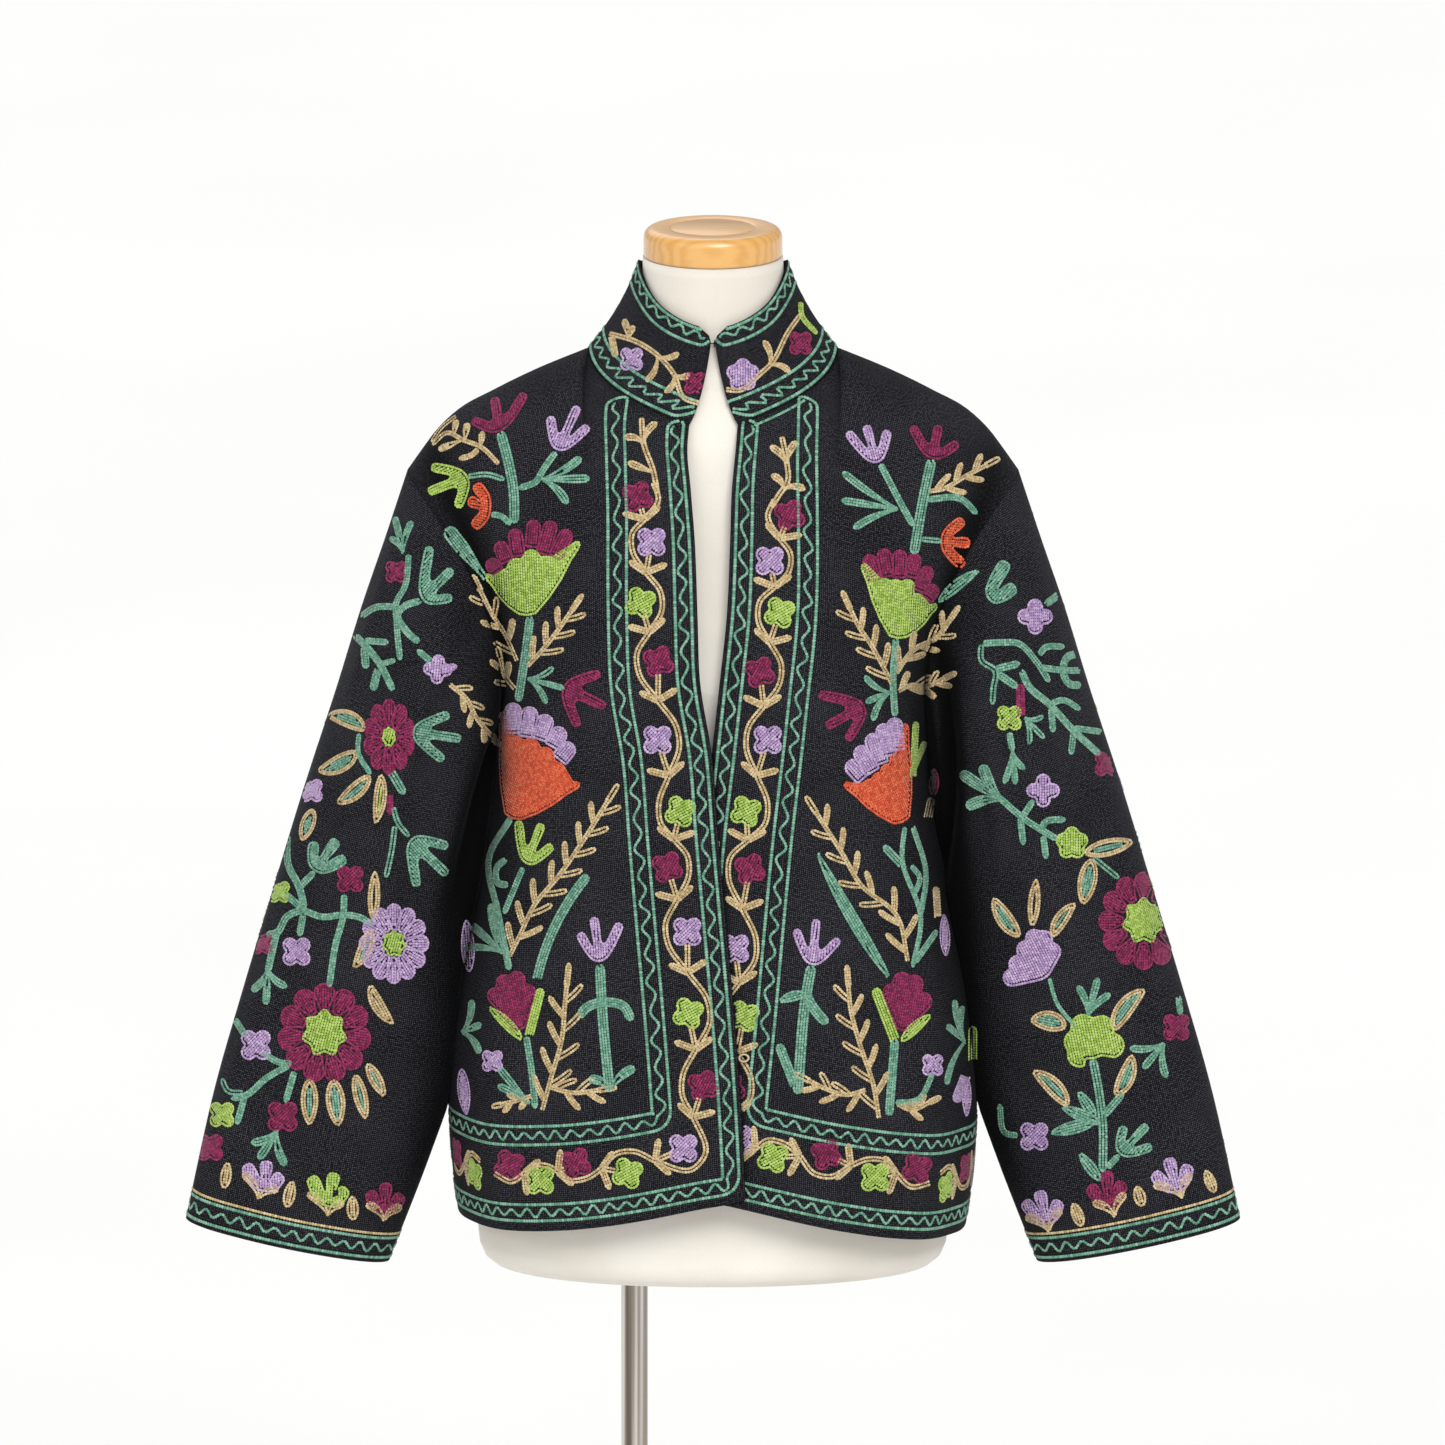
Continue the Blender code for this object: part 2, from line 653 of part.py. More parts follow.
def add_mesh(name, mesh, material):
    data = bpy.data.meshes.new(name)
    mesh.to_mesh(data)
    mesh.free()
    made = bpy.data.objects.new(name, data)
    made.data.materials.append(material)
    data.shade_smooth()
    data.set_sharp_from_angle(angle=math.radians(SHARP_DEGREES))
    bpy.data.collections[COLLECTION].objects.link(made)
    return made


def add_material(name):
    colour, roughness, metallic = TONES[name]
    material = bpy.data.materials.new(name)
    material.use_nodes = True
    shader = material.node_tree.nodes["Principled BSDF"]
    shader.inputs["Base Color"].default_value = (*colour, 1)
    shader.inputs["Roughness"].default_value = roughness
    shader.inputs["Metallic"].default_value = metallic
    return material


def add_jacket(materials):
    """The cut pieces: two fronts, two backs with a seam down the middle, two sleeves and the collar."""
    grids = {
        "front_right": body_half("front", "right"),
        "front_left": body_half("front", "left"),
        "back_right": body_half("back", "right"),
        "back_left": body_half("back", "left"),
        "sleeve_right": sleeve("right"),
        "sleeve_left": sleeve("left"),
        "collar": collar(),
    }
    flips = {
        "front_right": True, "front_left": False, "back_right": False, "back_left": True,
        "sleeve_right": True, "sleeve_left": False, "collar": True,
    }
    seams = {
        "front_right": ("last_row", "last_column"),
        "front_left": ("last_row", "last_column"),
        "back_right": ("last_row", "first_column", "last_column"),
        "back_left": ("last_row", "first_column", "last_column"),
        "sleeve_right": ("first_row",),
        "sleeve_left": ("first_row",),
        "collar": ("first_row",),
    }
    outward = {name: normals(grid, flips[name]) for name, grid in grids.items()}
    shared = shared_normals(grids, outward)
    for name, points in grids.items():
        wall(
            name, draw_back(points, shared[name], seams[name]),
            mitre(outward[name], shared[name]), materials["wool"], flip=flips[name],
            closed=name.startswith("sleeve"),
        )


# The fasteners


def lining_depth(x):
    """Where a wire lies that just clears the inside of the collar's front, at a distance out."""
    _, place, _, _ = bpy.data.objects["collar"].ray_cast((x, 0, HOOK_HEIGHT), (0, -1, 0))
    return place.y + WIRE_CLEAR + WIRE_RADIUS


def add_wire(name, places, material):
    """A bent wire through a list of points, with closed ends."""
    curve = bpy.data.curves.new(name, "CURVE")
    curve.dimensions = "3D"
    curve.bevel_depth = WIRE_RADIUS
    curve.bevel_resolution = WIRE_BEVEL_STEPS
    curve.use_fill_caps = True
    spline = curve.splines.new("POLY")
    spline.points.add(len(places) - 1)
    for point, place in zip(spline.points, places):
        point.co = (*place, 1)
    curve.materials.append(material)
    made = bpy.data.objects.new(name, curve)
    bpy.data.collections[COLLECTION].objects.link(made)
    return made


def bend(middle, radius, start, end, plane):
    """Points round part of a circle, in the plane of two named directions."""
    points = []
    for i in range(WIRE_CORNER_STEPS + 1):
        turn = math.radians(start + (end - start) * i / WIRE_CORNER_STEPS)
        offset = {plane[0]: radius * math.cos(turn), plane[1]: radius * math.sin(turn)}
        points.append(tuple(middle[k] + offset.get("xyz"[k], 0) for k in range(3)))
    return points


def add_hook_and_eye(material):
    """An eye whose bar stands across the opening, and a hook that passes behind it."""
    bpy.context.view_layer.update()
    depth = lining_depth(EYE_ROOT)
    corner = WIRE_RADIUS * 2
    eye = [(EYE_ROOT, depth, HOOK_HEIGHT + EYE_HALF_HEIGHT)]
    for sign, start, end in ((1, 90, 180), (-1, 180, 270)):
        middle = (EYE_BAR + corner, depth, HOOK_HEIGHT + sign * (EYE_HALF_HEIGHT - corner))
        eye += bend(middle, corner, start, end, "xz")
    eye.append((EYE_ROOT, depth, HOOK_HEIGHT - EYE_HALF_HEIGHT))
    add_wire("collar_eye", eye, material)

    # The hook's end turns back towards the front, round the far side of the bar
    clear = 2 * WIRE_RADIUS + SEAM_GAP
    root_depth = lining_depth(HOOK_ROOT)
    hook = [(HOOK_ROOT, root_depth, HOOK_HEIGHT), (HOOK_ROOT / 2, root_depth, HOOK_HEIGHT)]
    hook += bend((EYE_BAR, depth, HOOK_HEIGHT), clear, 90, 0, "xy")
    add_wire("collar_hook", hook, material)


def add_thread_eye(material):
    """A loop of thread that lies on the left front, at the edge of the right one."""
    edge = -float(front_edge("right", LOOP_HEIGHT))
    x = edge + SEAM_GAP * 2 + THREAD_RADIUS + LOOP_RADIUS * LOOP_WIDENED
    front = bpy.data.objects["front_left"]
    _, place, normal, _ = front.ray_cast((x, -1, LOOP_HEIGHT), (0, 1, 0))
    bpy.ops.mesh.primitive_torus_add(
        major_radius=LOOP_RADIUS, minor_radius=THREAD_RADIUS,
        major_segments=LOOP_SIDES[0], minor_segments=LOOP_SIDES[1],
    )
    loop = bpy.context.object
    loop.name = "thread_eye"
    loop.data.name = "thread_eye"
    for vertex in loop.data.vertices:
        vertex.co.x *= LOOP_WIDENED
    loop.rotation_euler = normal.to_track_quat("Z", "Y").to_euler()
    loop.location = place + normal * (THREAD_RADIUS + SEAM_GAP)
    loop.data.materials.append(material)
    loop.data.shade_smooth()
    for collection in loop.users_collection:
        collection.objects.unlink(loop)
    bpy.data.collections[COLLECTION].objects.link(loop)


# The dress form and its stand


def form_sections():
    """The form's sections from its flat bottom to the top of its neck."""
    sections = list(FORM)
    out = np.linspace(0, SHOULDER_HALF_WIDTH, SHOULDER_SAMPLES)
    line = read(SHOULDER, SHOULDER_COLUMNS, "height", out)
    slope = np.gradient(line, out)
    inside = (WALL + FORM_REST_GAP) * np.sqrt(1 + slope**2)
    for height, *depths in FORM_SHOULDERS:
        half_width = float(np.interp(-height, -(line - inside), out))
        sections.append((height, half_width, *depths))
    return sections + list(FORM_NECK)


def add_form(material):
    mesh = bmesh.new()
    rings = []
    for height, half_width, front, back, squareness in form_sections():
        power = 2 / squareness
        ring = []
        for i in range(FORM_SIDES):
            turn = 2 * math.pi * i / FORM_SIDES
            x = math.copysign(abs(math.cos(turn)) ** power, math.cos(turn)) * half_width
            reach = back if math.sin(turn) > 0 else front
            y = math.copysign(abs(math.sin(turn)) ** power, math.sin(turn)) * reach
            ring.append(mesh.verts.new((x, y, height)))
        rings.append(ring)
    for low, high in zip(rings, rings[1:]):
        for i in range(FORM_SIDES):
            j = (i + 1) % FORM_SIDES
            mesh.faces.new((low[i], low[j], high[j], high[i]))
    mesh.faces.new(rings[0][::-1])
    mesh.faces.new(rings[-1])
    return add_mesh("dress_form", mesh, material)


def turned(name, profile, material, steps, location):
    """A solid of revolution from a profile of radius and height pairs, top to bottom."""
    mesh = bmesh.new()
    points = [mesh.verts.new((radius, 0, height)) for radius, height in profile]
    for upper, lower in zip(points, points[1:]):
        mesh.edges.new((upper, lower))
    made = add_mesh(name, mesh, material)
    made.location = location
    screw = made.modifiers.new("turn", "SCREW")
    screw.steps = steps
    screw.render_steps = steps
    screw.use_merge_vertices = True
    screw.merge_threshold = 0.00005
    return made


def rounded(radius, height, bevel, steps):
    """The profile of a disc with a rounded upper edge, from the middle of its top outwards."""
    profile = [(0, height)]
    for i in range(steps + 1):
        turn = math.pi / 2 * i / steps
        place = (radius - bevel + bevel * math.sin(turn), height - bevel + bevel * math.cos(turn))
        profile.append(place)
    return profile + [(radius, 0), (0, 0)]


def add_cap(material):
    top = FORM_NECK[-1][0] + SEAM_GAP
    profile = rounded(CAP_RADIUS, CAP_HEIGHT, CAP_EDGE, 5)
    groove = [
        (CAP_RING_RADIUS - CAP_RING_WIDTH, CAP_HEIGHT),
        (CAP_RING_RADIUS, CAP_HEIGHT - CAP_RING_DEPTH),
        (CAP_RING_RADIUS + CAP_RING_WIDTH, CAP_HEIGHT),
    ]
    bottom = [(CAP_RADIUS, CAP_UNDER_EDGE), (CAP_RADIUS - CAP_UNDER_EDGE, 0), (0, 0)]
    profile = profile[:1] + groove + profile[1:-2] + bottom
    return turned("neck_cap", profile, material, CAP_SIDES, (0, 0, top))


def add_stand(metal):
    """The base plate, the pole in its foot, and the flange under the form."""
    form_bottom = FORM[0][0]
    turned("base_plate", rounded(BASE_RADIUS, BASE_HEIGHT, BASE_BEVEL, 2), metal, BASE_SIDES, (0, 0, 0))
    foot_bottom = BASE_HEIGHT + SEAM_GAP
    bore = POLE_RADIUS + SEAM_GAP
    foot = [
        (bore, FOOT_HEIGHT), (FOOT_TOP_RADIUS, FOOT_HEIGHT), (FOOT_RADIUS, FOOT_SHOULDER),
        (FOOT_RADIUS, 0), (bore, 0), (bore, FOOT_HEIGHT),
    ]
    turned("pole_foot", foot, metal, POLE_SIDES, (POLE_X, 0, foot_bottom))
    flange = [
        (bore, 0), (FLANGE_RADIUS, 0), (FLANGE_RADIUS, -FLANGE_THICKNESS),
        (FLANGE_NECK_RADIUS, -FLANGE_THICKNESS), (FLANGE_NECK_RADIUS, -FLANGE_HEIGHT),
        (bore, -FLANGE_HEIGHT), (bore, 0),
    ]
    turned("pole_flange", flange, metal, POLE_SIDES, (POLE_X, 0, form_bottom - SEAM_GAP))
    pole_length = form_bottom - SEAM_GAP - foot_bottom
    pole = [(0, pole_length), (POLE_RADIUS, pole_length), (POLE_RADIUS, 0), (0, 0)]
    turned("pole", pole, metal, POLE_SIDES, (POLE_X, 0, foot_bottom))


def clear_scene():
    for old in list(bpy.data.objects):
        bpy.data.objects.remove(old, do_unlink=True)
    collection = bpy.data.collections.new(COLLECTION)
    bpy.context.scene.collection.children.link(collection)


def main():
    clear_scene()
    materials = {name: add_material(name) for name in TONES}
    add_jacket(materials)
    add_hook_and_eye(materials["black_metal"])
    add_thread_eye(materials["cream"])
    add_form(materials["jersey"])
    add_cap(materials["wood"])
    add_stand(materials["chrome"])


main()
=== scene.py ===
"""An embroidered stand-collar jacket on a limbless dress form: the looks.

Metres, +Z up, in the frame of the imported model. The jacket's front faces -Y, and +X is the wearer's
left. The cloth is rebuilt finer on the tables of its solids, with more creases and with the sleeves'
inner sides a little nearer to the body. Every line of embroidery is made of single chain stitches
that lie on it.
"""

import math

import bpy
import numpy as np
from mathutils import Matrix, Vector
from mathutils.bvhtree import BVHTree
from mathutils.geometry import barycentric_transform
from mathutils.kdtree import KDTree


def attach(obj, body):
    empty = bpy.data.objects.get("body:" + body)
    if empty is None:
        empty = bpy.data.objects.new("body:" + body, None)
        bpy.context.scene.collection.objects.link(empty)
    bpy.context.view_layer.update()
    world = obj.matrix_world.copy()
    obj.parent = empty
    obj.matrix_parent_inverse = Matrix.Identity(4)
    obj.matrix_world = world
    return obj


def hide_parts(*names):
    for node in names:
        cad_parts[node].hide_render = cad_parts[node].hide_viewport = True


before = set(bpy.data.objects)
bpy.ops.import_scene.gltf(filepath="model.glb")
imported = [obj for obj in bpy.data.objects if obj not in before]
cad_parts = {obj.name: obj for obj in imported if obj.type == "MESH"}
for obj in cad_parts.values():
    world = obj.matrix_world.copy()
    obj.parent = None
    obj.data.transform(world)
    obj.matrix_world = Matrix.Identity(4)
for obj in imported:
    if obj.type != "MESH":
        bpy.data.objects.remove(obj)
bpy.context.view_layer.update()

# The photograph: its frame, and the plane through the middle of the form that it is measured on
FRAME = 1445
PIXEL = 0.00075
MIDDLE_COLUMN = 713
MIDDLE_ROW = 722.5
SIGHT_HEIGHT = 1.1071
ELEVATION = 12
CAMERA_DISTANCE = 40.0
SENSOR = 36.0
CAMERA_SEES = 100
MM = 0.001

# Which way a face or a side of the body lies from its middle
SIGN = {"front": -1, "back": 1, "right": -1, "left": 1}

# Cloth
WALL = 0.002
SEAM_GAP = 0.0003
STEEPEST_MITRE = 0.5

# Heights of the jacket's main points, and the half width of its neck and shoulders
NECK_HALF_WIDTH = 0.0935
SHOULDER_TIP = 1.325
SHOULDER_HALF_WIDTH = 0.229
UNDERARM = 1.12
UNDERARM_HALF_WIDTH = 0.165
EDGE_AT_UNDERARM = 1.15

# Horizontal sections of the body, which are half superellipses in front and behind
SQUARENESS = 2.4
BODY_COLUMNS = ("height", "half_width", "front", "back")
BODY = (
    (0.740, 0.1890, 0.143, 0.134),
    (0.800, 0.1965, 0.144, 0.137),
    (0.850, 0.1985, 0.144, 0.135),
    (0.900, 0.1965, 0.142, 0.130),
    (0.950, 0.1900, 0.140, 0.124),
    (1.000, 0.1810, 0.139, 0.120),
    (1.050, 0.1720, 0.139, 0.120),
    (1.120, 0.1650, 0.139, 0.124),
    (1.180, 0.1800, 0.137, 0.130),
    (1.240, 0.2050, 0.128, 0.131),
    (1.300, 0.2260, 0.114, 0.125),
    (1.350, 0.2380, 0.102, 0.114),
    (1.400, 0.2440, 0.092, 0.102),
    (1.460, 0.2450, 0.084, 0.092),
)

# The shoulder line, from the middle of the neck outwards, and how far down the body rounds off
SHOULDER_ROUND = 0.115
SHOULDER_COLUMNS = ("out", "height")
SHOULDER = (
    (0.0000, 1.458),
    (0.0935, 1.419),
    (0.1340, 1.402),
    (0.1640, 1.387),
    (0.1930, 1.370),
    (0.2070, 1.356),
    (0.2180, 1.341),
    (0.2290, 1.325),
)

# The front edges: how far each stands on its own side of the middle, so a negative one overlaps
EDGE_COLUMNS = ("height", "right_front", "left_front")
EDGES = (
    (0.780, -0.0250, -0.0300),
    (0.872, -0.0205, -0.0265),
    (0.940, -0.0155, -0.0200),
    (1.008, -0.0095, -0.0140),
    (1.077, -0.0035, -0.0075),
    (1.137, 0.0012, -0.0005),
    (1.192, 0.0100, 0.0055),
    (1.238, 0.0118, 0.0105),
    (1.296, 0.0140, 0.0132),
    (1.332, 0.0170, 0.0145),
    (1.361, 0.0195, 0.0175),
    (1.380, 0.0175, 0.0190),
)
LAP = 0.0016
LAP_STARTS = 1.185
LAP_FULL = 1.145
LAP_WIDTH = 0.065

# The hem: at the front edges, at the side seams, and at the middle of the back
HEM_EDGE = {"right": 0.797, "left": 0.801}
HEM_SIDE = {"right": 0.762, "left": 0.751}
HEM_BACK = 0.757
HEM_RISE = {"right": 3.2, "left": 2.4}

# The collar's base and top, by the angle from the neck point round to the middle of the front or
# the back, and how deep they reach
COLLAR_TOP_HALF_WIDTH = 0.0562
COLLAR_HOLLOW = 0.0045
COLLAR_CORNER = 0.011
COLLAR_MEETS = 0.0006
COLLAR_EDGE_BEND = 0.8
FIRST_EDGE_ANGLE = 80.0
COLLAR_COLUMNS = ("angle", "base", "top")
COLLAR_FRONT = (
    (0, 1.4190, 1.4860),
    (20, 1.4075, 1.4755),
    (40, 1.3965, 1.4620),
    (58, 1.3870, 1.4535),
    (75, 1.3780, 1.4475),
    (90, 1.3715, 1.4440),
)
COLLAR_BACK = (
    (0, 1.4190, 1.4860),
    (30, 1.4175, 1.4790),
    (60, 1.4150, 1.4730),
    (90, 1.4140, 1.4715),
)
NECK = {"front": (COLLAR_FRONT, 0.0780, 0.0605), "back": (COLLAR_BACK, 0.0700, 0.0580)}

# The armhole, a bowed oval from the shoulder tip to the underarm
ARMHOLE_BOW = 0.030
ARMHOLE_DEPTH = {"front": 0.066, "back": 0.070}

# Sections of a sleeve, from the armhole to the cuff: its outer and inner sides, as distances from
# the middle and heights, how far it reaches forwards and back, and where its middle lies. The inner
# side lies up to 9 mm nearer to the body than the solid's, so that no light shows between them.
SLEEVE_COLUMNS = (
    "along", "out_x", "out_z", "in_x", "in_z", "front", "back", "middle", "bow", "squareness",
)
SLEEVE = (
    (0.00, 0.2290, 1.325, 0.1650, 1.120, 0.066, 0.070, 0.000, 0.030, 2.0),
    (0.04, 0.2355, 1.305, 0.1615, 1.113, 0.071, 0.075, 0.000, 0.025, 2.0),
    (0.10, 0.2455, 1.274, 0.1625, 1.093, 0.081, 0.082, 0.000, 0.017, 2.1),
    (0.20, 0.2630, 1.222, 0.1640, 1.062, 0.084, 0.084, 0.000, 0.008, 2.2),
    (0.32, 0.2828, 1.157, 0.1660, 1.026, 0.079, 0.080, -0.001, 0.002, 2.3),
    (0.45, 0.3075, 1.080, 0.1720, 0.982, 0.071, 0.072, -0.002, 0.000, 2.4),
    (0.58, 0.3307, 1.003, 0.1810, 0.935, 0.062, 0.063, -0.004, 0.000, 2.4),
    (0.71, 0.3533, 0.927, 0.1890, 0.874, 0.054, 0.055, -0.006, 0.000, 2.4),
    (0.85, 0.3750, 0.850, 0.2110, 0.806, 0.047, 0.047, -0.008, 0.000, 2.3),
    (1.00, 0.3960, 0.754, 0.2430, 0.722, 0.039, 0.039, -0.010, 0.000, 2.2),
)
# Where a sleeve lies against the body it is pressed flat, this far from it. The pressing sets in
# between two heights, just below the armhole.
SLEEVE_CLEAR = 0.0002
SLEEVE_PRESS = (1.121, 1.113)

# The largest folds of the cloth. A sleeve's run down it, at an angle round from its outer side
# towards the front. A body's run up it, at a share of the way from the front edge to the side seam.
FOLD_COLUMNS = ("from_along", "to_along", "from_place", "to_place", "height", "width")
FOLD_END_POWER = 0.7
FOLD_SIDE_POWER = 0.5
FOLD_TOP_POWER = 6
SLEEVE_FOLDS_FULL = 0.12
SLEEVE_FOLDS = {
    "right": (
        (-0.10, 0.75, 52, 66, 0.0055, 11),
        (0.15, 0.80, 96, 104, -0.0040, 16),
        (0.35, 1.05, 40, 62, -0.0028, 15),
        (0.00, 0.70, 300, 292, 0.0050, 13),
        (0.20, 0.95, 262, 250, -0.0040, 17),
    ),
    "left": (
        (-0.10, 0.62, 58, 70, 0.0060, 11),
        (0.18, 0.85, 102, 112, -0.0045, 17),
        (0.45, 1.05, 46, 60, -0.0022, 16),
        (0.05, 0.80, 304, 290, 0.0045, 14),
        (0.30, 1.00, 256, 262, -0.0035, 18),
    ),
}
BODY_FOLDS = {
    ("front", "right"): (
        (-0.10, 0.62, 0.78, 0.86, -0.0050, 0.070),
        (-0.10, 0.45, 0.60, 0.66, 0.0032, 0.075),
    ),
    ("front", "left"): (
        (-0.10, 0.66, 0.76, 0.84, -0.0060, 0.065),
        (-0.10, 0.50, 0.60, 0.68, 0.0036, 0.075),
    ),
    ("back", "right"): (
        (-0.10, 0.70, 0.62, 0.74, -0.0060, 0.090),
        (-0.10, 0.60, 0.36, 0.44, 0.0045, 0.090),
    ),
    ("back", "left"): (
        (-0.10, 0.64, 0.66, 0.76, -0.0055, 0.085),
        (-0.10, 0.66, 0.34, 0.40, 0.0050, 0.095),
    ),
}

# Mesh density: the solids' own steps, each divided into finer ones
FINE = 4
LOW_ROWS = 10 * FINE
ARMHOLE_ROWS = 12 * FINE
NECK_STEPS = 5 * FINE
SHOULDER_STEPS = 7 * FINE
SLEEVE_STEPS = 16 * FINE
SLEEVE_STEP_GROWTH = 1.25
COLLAR_ROWS = 4 * FINE
EDGE_ANGLE_TRIES = 12
SMOOTHING_ROUNDS = 60
RIM_SWELL = 0.0003

# Creases of the cloth, finer than the folds and given in the same way
SLEEVE_CREASES = {
    "right": (
        (0.02, 0.34, 20, 30, 0.0024, 7),
        (0.02, 0.66, 74, 91, 0.0034, 6),
        (-0.20, 0.50, 150, 128, -0.0160, 11),
        (-0.10, 0.60, 66, 88, 0.0050, 10),
        (0.04, 0.30, 118, 96, -0.0022, 9),
        (0.30, 0.62, 78, 60, 0.0018, 8),
        (0.38, 0.60, 92, 112, -0.0020, 8),
        (0.52, 0.92, 22, 12, -0.0018, 9),
        (0.66, 1.02, 84, 92, 0.0014, 9),
        (0.05, 0.36, 236, 252, 0.0022, 9),
        (0.30, 0.66, 322, 308, -0.0019, 9),
        (0.42, 0.78, 228, 238, 0.0017, 9),
        (0.70, 1.02, 284, 276, -0.0015, 10),
    ),
    "left": (
        (0.03, 0.30, 24, 34, 0.0022, 8),
        (0.02, 0.46, 80, 106, 0.0034, 6),
        (-0.28, 0.40, 40, 164, -0.0160, 11),
        (-0.10, 0.60, 66, 88, 0.0050, 10),
        (0.05, 0.33, 122, 104, -0.0024, 9),
        (0.34, 0.64, 84, 72, -0.0017, 8),
        (0.42, 0.70, 30, 40, 0.0020, 9),
        (0.55, 0.95, 118, 104, 0.0017, 9),
        (0.72, 1.02, 66, 74, -0.0015, 9),
        (0.04, 0.40, 240, 256, 0.0021, 9),
        (0.28, 0.60, 318, 304, -0.0021, 9),
        (0.46, 0.84, 232, 226, 0.0016, 10),
        (0.64, 1.02, 286, 272, -0.0016, 10),
    ),
}
BODY_CREASES = {
    ("front", "right"): (
        (0.50, 1.05, 0.955, 0.880, -0.0180, 0.034),
        (0.34, 0.78, 0.88, 0.80, 0.0020, 0.035),
        (0.42, 0.74, 0.74, 0.66, -0.0016, 0.040),
        (-0.05, 0.30, 0.42, 0.45, -0.0014, 0.050),
        (0.02, 0.36, 0.90, 0.93, 0.0020, 0.035),
    ),
    ("front", "left"): (
        (0.56, 1.04, 1.050, 0.900, -0.0180, 0.034),
        (0.36, 0.80, 0.90, 0.79, 0.0019, 0.035),
        (0.40, 0.70, 0.72, 0.64, -0.0018, 0.040),
        (-0.05, 0.26, 0.36, 0.40, -0.0013, 0.050),
        (0.00, 0.40, 0.91, 0.94, 0.0024, 0.035),
    ),
    ("back", "right"): (
        (0.36, 0.76, 0.86, 0.76, 0.0022, 0.040),
        (-0.05, 0.34, 0.20, 0.17, -0.0017, 0.055),
        (0.04, 0.40, 0.88, 0.92, 0.0020, 0.040),
    ),
    ("back", "left"): (
        (0.34, 0.80, 0.88, 0.78, 0.0021, 0.040),
        (-0.05, 0.30, 0.18, 0.20, -0.0016, 0.055),
        (0.02, 0.44, 0.90, 0.93, 0.0022, 0.040),
    ),
}

# Painted shade along hollows where hardly any light comes in, in the columns of the folds, with a height
# from 0 to 1. The ones beside the armholes lie along the deepest troughs.
PAINTED_SHADE_HOLLOWS = {
    ("front", "right"): (
        (0.48, 1.08, 0.985, 0.915, 1.0, 0.052),
        (0.16, 0.72, 1.010, 1.000, 0.8, 0.080),
    ),
    ("front", "left"): (
        (0.54, 1.01, 1.090, 0.915, 1.0, 0.052),
        (0.16, 0.74, 1.010, 1.000, 0.9, 0.110),
    ),
    "right": (
        (-0.30, 0.62, 152, 128, 1.0, 20),
        (-0.30, 0.76, 176, 158, 1.0, 26),
    ),
    "left": (
        (-0.30, 0.40, 34, 164, 1.0, 15),
        (0.06, 0.56, 130, 142, 1.0, 24),
        (-0.10, 0.76, 172, 158, 1.0, 28),
    ),
}

# The dress form's sides, and how finely its sections are read
FORM_SIDES = 120
FORM_RINGS = 120
FORM_COLUMNS = ("height", "half_width", "front", "back", "squareness")
FORM = (
    (0.7190, 0.1570, 0.0950, 0.0980, 2.15),
    (0.7208, 0.1650, 0.1030, 0.1060, 2.15),
    (0.7262, 0.1715, 0.1095, 0.1125, 2.15),
    (0.7350, 0.1753, 0.1133, 0.1165, 2.15),
    (0.7500, 0.1768, 0.1148, 0.1185, 2.15),
    (0.8000, 0.1770, 0.1155, 0.1210, 2.15),
    (0.8600, 0.1700, 0.1130, 0.1190, 2.15),
    (0.9300, 0.1470, 0.1050, 0.1060, 2.15),
    (1.0100, 0.1280, 0.0990, 0.0940, 2.15),
    (1.0700, 0.1330, 0.1060, 0.0960, 2.15),
    (1.1300, 0.1440, 0.1190, 0.1020, 2.15),
    (1.1800, 0.1490, 0.1225, 0.1080, 2.20),
    (1.2300, 0.1540, 0.1150, 0.1110, 2.20),
    (1.2800, 0.1640, 0.1020, 0.1090, 2.20),
    (1.3150, 0.1730, 0.0920, 0.1020, 2.15),
    (1.3400, 0.1770, 0.0850, 0.0950, 2.00),
    (1.3560, 0.1740, 0.0800, 0.0880, 1.85),
)
# Above that the form's shoulders follow the jacket's shoulder line from inside, up to its neck
FORM_REST_GAP = 0.0013
SHOULDER_SAMPLES = 400
FORM_SHOULDERS = (
    (1.3670, 0.0760, 0.0830, 1.70),
    (1.3780, 0.0715, 0.0780, 1.58),
    (1.3890, 0.0660, 0.0720, 1.45),
    (1.3990, 0.0620, 0.0680, 1.32),
)
FORM_NECK = (
    (1.4080, 0.0820, 0.0600, 0.0645, 1.60),
    (1.4160, 0.0710, 0.0570, 0.0620, 1.80),
    (1.4260, 0.0640, 0.0545, 0.0595, 1.92),
    (1.4400, 0.0575, 0.0530, 0.0560, 2.00),
    (1.4580, 0.0540, 0.0526, 0.0535, 2.00),
    (1.4887, 0.0525, 0.0525, 0.0525, 2.00),
)

# The neck cap, a turned disc with a shallow ring in its top
CAP_RADIUS = 0.0520
CAP_HEIGHT = 0.0220
CAP_EDGE = 0.0075
CAP_UNDER_EDGE = 0.0025
CAP_SIDES = 160
CAP_RING_RADIUS = 0.0315
CAP_RING_DEPTH = 0.0006
CAP_RING_WIDTH = 0.0012
CAP_EDGE_STEPS = 10
CAP_RING_STEPS = 7
CAP_MIDDLE = 0.0001

# The seam down the form's middle
SEAM_DEPTH = 0.0006
SEAM_WIDTH = 0.0012

